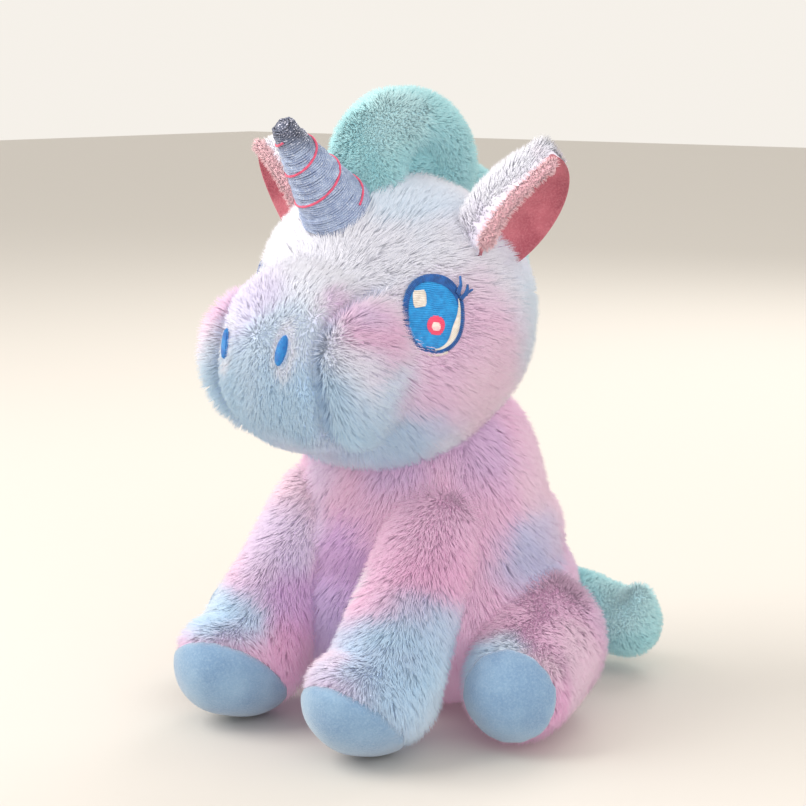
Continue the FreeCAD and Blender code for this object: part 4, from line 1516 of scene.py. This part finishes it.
@dataclass
class Ears:
    """Padded, cupped ears: pile outside, velvet inside and a fluffy turned-in front edge."""

    long: float = 47.0
    wide: float = 19.5
    deep: float = 15.0
    lean: float = 37.0
    face: tuple = (8.0, 55.0)
    root_sink: float = 15.0
    spread: float = 80.0

    def axes(self, side: int) -> tuple[Vector, Vector, Vector]:
        """The ways along, across towards the rear, and the way the cup faces."""
        lean, face = math.radians(self.lean), math.radians(self.face[side < 0])
        along = Vector((side * math.sin(lean), 0, math.cos(lean)))
        facing = Vector((side * math.cos(face) * math.cos(lean), -math.sin(face),
                         -math.cos(face) * math.sin(lean)))
        return along, along.cross(facing) * side, facing

    def surface_point(self, side: int, joint: str, along_share: float, across_share: float,
                      depth: float = 0.0) -> Vector:
        """A point of the cupped, leaf-shaped ear.

        Args:
            side: 1 for the left ear, -1 for the right.
            joint: the hinge that it grows from.
            along_share: 0 at the root to 1 at the tip.
            across_share: -1 at the front edge to 1 at the rear edge.
            depth: millimetres in front of the cup's face, or behind it when negative.

        Returns:
            The point in millimetres.
        """
        along, across, facing = self.axes(side)
        root = hinge_of(joint) - along * self.root_sink
        bulge = math.sin(math.pi * min(along_share * 0.90 + 0.10, 1)) ** 0.58
        half = self.wide * bulge
        curl = across_share * math.radians(self.spread)
        x = half * math.sin(curl) / math.sin(math.radians(self.spread))
        cup = self.deep * (1 - math.cos(curl)) * (0.3 + 0.7 * bulge)
        bend = 2.0 * along_share - 4.0 * math.sin(math.pi * along_share)
        centre = root + along * (self.long + self.root_sink) * along_share
        narrowed = 1 - depth / 40
        return centre + across * (x * narrowed) + facing * (cup + bend + depth)

    def leaf(self, name: str, side: int, joint: str, reach: float, low: float, front: float,
             back: Callable[[float, float], float]) -> bpy.types.Object:
        """A closed leaf between two depths of the cup.

        Args:
            name: the new object's name.
            side: 1 for the left ear, -1 for the right.
            joint: the hinge that it grows from.
            reach: how near its edges come to the ear's own edges, where 1 meets them.
            low: where it starts along the ear.
            front: the depth of its front face.
            back: gives the depth of its back face from the shares along and across.

        Returns:
            The leaf.
        """
        rows, columns = 26, 22
        points = []
        for layer in (0, 1):
            for row in range(rows + 1):
                share = low + (reach - low) * row / rows
                for column in range(columns + 1):
                    across = -1 + 2 * column / columns
                    depth = back(share, across) if layer else front
                    points.append(self.surface_point(side, joint, share, across * reach, depth))
        return plate_of(name, points, columns + 1, 0.2)

    def build(self, furrier: Furrier) -> None:
        """Build both ears."""
        for side_name, side in SIDES:
            self.ear(furrier, side_name, side)

    def ear(self, furrier: Furrier, side_name: str, side: int) -> None:
        """Build one ear."""
        joint, body = f"ear_{side_name}_bend", f"ear_{side_name}"
        along, across, facing = self.axes(side)

        def padding(share: float, across_share: float) -> float:
            """The ear is fattest low down in the middle."""
            return -1.8 - 12.0 * (1 - across_share ** 2) ** 0.6 * (1 - 0.6 * share)

        shell = self.leaf(f"ear_{side_name}_skin", side, joint, 1.0, 0.02, 0.0, padding)
        blend_skin(shell, 1.1, 0.5, 5)
        points = places(shell.data)
        towards = normals(shell.data) @ np.array(facing)
        inside = smooth(towards, -0.25, 0.25)
        edge = smooth(towards, -0.75, -0.1)
        dye = dyed(points, Dye.SNOW, mirrored([Patch((62, -8, 238), 14, Dye.LILAC, 0.6),
                                               Patch((84, 6, 262), 12, Dye.BLUSH, 0.5)]))
        rear = smooth(points @ np.array(across) - hinge_of(joint).dot(across), 4, 16)
        cut = (0.75 - 0.35 * edge) * (1 - 0.35 * rear * edge)
        dress(shell, dye, cut, 1 - inside)
        finish_piece(shell, body, "fur_plush", [f"ear_cover_{side_name}"])

        def comb(where: np.ndarray) -> np.ndarray:
            """Pile runs up the ear."""
            return np.tile(np.array(along), (len(where), 1)) + billow(where, 12, 9) * 0.4

        furrier.grow(shell, f"ear_{side_name}_pile", body, "fur_plush", FUR, 7 + (side < 0), comb)
        lining = self.leaf(f"ear_{side_name}_lining_velvet", side, joint, 0.985, 0.06, 1.5,
                           lambda share, across_share: -0.6)
        subdivide = lining.modifiers.new("smooth", "SUBSURF")
        subdivide.levels = subdivide.render_levels = 1
        applied(lining)
        lining.data.materials.append(EAR_VELVET.make())
        finish_piece(lining, body, "ear_velvet", [f"ear_lining_{side_name}"])
        self.trim(furrier, side_name, side, joint, body)

    def trim(self, furrier: Furrier, side_name: str, side: int, joint: str, body: str) -> None:
        """The fluffy strip turned in along the front edge and over the tip."""
        stations = []
        for share in np.linspace(0.26, 0.965, 16):
            at = self.surface_point(side, joint, float(share), -0.90, 1.8)
            stations.append((tuple(at), 3.1 - 1.1 * float(share)))
        strip = stuffed_mesh(f"ear_{side_name}_trim_skin", [Roll(tuple(stations), 1.5)], 0.0, 0.8, 3)
        dress(strip, dyed(places(strip.data), Dye.TRIM, []))
        finish_piece(strip, body, "ear_trim_plush", [f"ear_trim_{side_name}"])
        furrier.grow(strip, f"ear_{side_name}_trim_pile", body, "ear_trim_plush", TRIM, 9 + (side < 0),
                     lambda where: billow(where, 6, 4))


@dataclass
class Mane:
    """Curl over the crown and the roll down the back of the head."""

    curl_at: tuple = (0, 1, 259)
    arc: tuple = (26.0, 22.0)
    thick: float = 18.5

    def build(self, furrier: Furrier) -> None:
        """Build the mane."""
        stations = []
        for angle in range(-40, 221, 10):
            turn = math.radians(angle)
            at = (-2.5 * math.cos(turn), self.curl_at[1] - self.arc[0] * math.cos(turn),
                  self.curl_at[2] + self.arc[1] * math.sin(turn))
            stations.append((at, self.thick * (1 + 0.03 * math.cos(turn))))
        heart = Lump(self.curl_at, (13, 20, 18))
        self.roll("mane_curl", [Roll(tuple(stations), 3.0), heart], furrier, 11)
        back = [((0, 26, 254), 16), ((0, 48, 243), 18), ((0, 65, 224), 19.5), ((0, 71, 200), 19.5),
                ((0, 70, 182), 18), ((0, 66, 170), 14)]
        self.roll("mane_back", [Roll(tuple(back), 3.0)], furrier, 12)

    def roll(self, name: str, parts: list, furrier: Furrier, seed: int) -> None:
        """One stuffed roll of aqua plush."""
        skin = stuffed_mesh(f"{name}_skin", parts, -AQUA_SINK, 2.2, 5)
        inflate(skin, np.zeros(len(skin.data.vertices)), 1.0)
        points = pushed(skin, ripple(places(skin.data), 18, seed, 0.6))
        dress(skin, dyed(points, Dye.AQUA, [
            Patch((16, -20, 290), 24, Dye.FOAM, 0.7), Patch((0, 0, 262), 22, Dye.TEAL, 0.7),
            Patch((0, 60, 235), 26, Dye.TEAL, 0.5), Patch((10, 84, 196), 26, Dye.FOAM, 0.5),
            Patch((-16, -10, 290), 22, Dye.AQUA, 0.5)]))
        finish_piece(skin, "head", "mane_plush", [f"{name}_cover", f"{name}_stuffing"])
        furrier.grow(skin, f"{name}_pile", "head", "mane_plush", NAP, seed,
                     lambda where: billow(where, 14, 6) + np.array((0, 0.2, -0.6)))


class Tail:
    """Curled tail of aqua plush."""

    def build(self, furrier: Furrier) -> None:
        """Build the tail."""
        root = hinge_of("tail_swing")
        stations = ((tuple(root), 14.5), ((20, 102, 37), 15.5), ((34, 110, 30), 17.5), ((46, 112, 25), 19.0),
                    ((57, 112, 24), 18.5), ((63, 110, 31), 13.0), ((66, 109, 39), 9.0))
        skin = stuffed_mesh("tail_skin", [Roll(stations, 3.0)], -AQUA_SINK, 2.2, 6)
        points = pushed(skin, ripple(places(skin.data), 16, 31, 0.7), 2.5)
        dress(skin, dyed(points, Dye.AQUA, [
            Patch((60, 104, 40), 20, Dye.FOAM, 0.6), Patch((20, 96, 40), 22, Dye.TEAL, 0.6),
            Patch((44, 100, 14), 20, Dye.TEAL, 0.5)]))
        finish_piece(skin, "tail", "mane_plush", ["tail_cover", "tail_stuffing"])
        furrier.grow(skin, "tail_pile", "tail", "mane_plush", NAP, 13,
                     lambda where: np.array((0.6, 0.3, -0.5)) + billow(where, 14, 7) * 0.8)


@dataclass
class Studio:
    """Plain floor, soft light and the camera."""

    azimuth: float = 40.0
    elevation: float = 10.0
    distance: float = 0.913
    lens: float = 85.0
    aim: tuple = (0.0, 0.0, 0.1475)
    floor_half: float = 6.0
    air: tuple = (0.92, 0.88, 0.82, 1)
    lamps: tuple = (("key", (-0.9, -1.0, 1.3), 1.2, 24, (1.0, 0.97, 0.93)),
                    ("fill", (1.5, -0.9, 0.7), 1.4, 11, (0.95, 0.97, 1.0)),
                    ("rim", (-0.3, 1.4, 1.2), 1.0, 11, (1.0, 0.98, 0.95)))

    def lamp(self, name: str, at: tuple, size: float, power: float, tint: tuple) -> None:
        """A square soft box that faces the toy, with its size in metres and its power in watts."""
        data = bpy.data.lights.new(name, "AREA")
        data.size, data.energy, data.color = size, power, tint
        thing = bpy.data.objects.new(name, data)
        thing.location = at
        thing.rotation_euler = (Vector(self.aim) - Vector(at)).to_track_quat("-Z", "Y").to_euler()
        bpy.context.scene.collection.objects.link(thing)

    def build(self) -> None:
        """Set up the studio."""
        mesh = bpy.data.meshes.new("floor")
        half = self.floor_half
        mesh.from_pydata([(-half, -half, 0), (half, -half, 0), (half, half, 0), (-half, half, 0)], [],
                         [(0, 1, 2, 3)])
        mesh.materials.append(FloorFinish().make())
        plain_object("floor", mesh)
        world = bpy.data.worlds.new("studio")
        world.use_nodes = True
        sky = world.node_tree.nodes["Background"]
        sky.inputs["Color"].default_value = self.air
        sky.inputs["Strength"].default_value = 1.0
        scene = bpy.context.scene
        scene.world = world
        scene.view_settings.view_transform = "Standard"
        for lamp in self.lamps:
            self.lamp(*lamp)
        camera = bpy.data.cameras.new("camera")
        camera.lens = self.lens
        camera.sensor_width = 36
        camera.clip_start, camera.clip_end = 0.02, 50
        turn, rise = math.radians(self.azimuth), math.radians(self.elevation)
        back = Vector((math.sin(turn) * math.cos(rise), -math.cos(turn) * math.cos(rise), math.sin(rise)))
        thing = bpy.data.objects.new("camera", camera)
        thing.location = Vector(self.aim) + back * self.distance
        thing.rotation_euler = (-back).to_track_quat("-Z", "Y").to_euler()
        scene.collection.objects.link(thing)
        scene.camera = thing


def main() -> None:
    """Build the toy round its frame."""
    logging.basicConfig(level=logging.INFO, format="%(name)s: %(message)s")
    noise.seed_set(NOISE_SEED)
    furrier = Furrier(density=1.0)
    needle = Needle()
    Studio().build()
    Torso().build(furrier)
    Head().build(furrier, needle)
    Legs().build(furrier)
    Horn().build(needle)
    Ears().build(furrier)
    Mane().build(furrier)
    Tail().build(furrier)
    furrier.close()


if __name__ == "__main__":
    main()
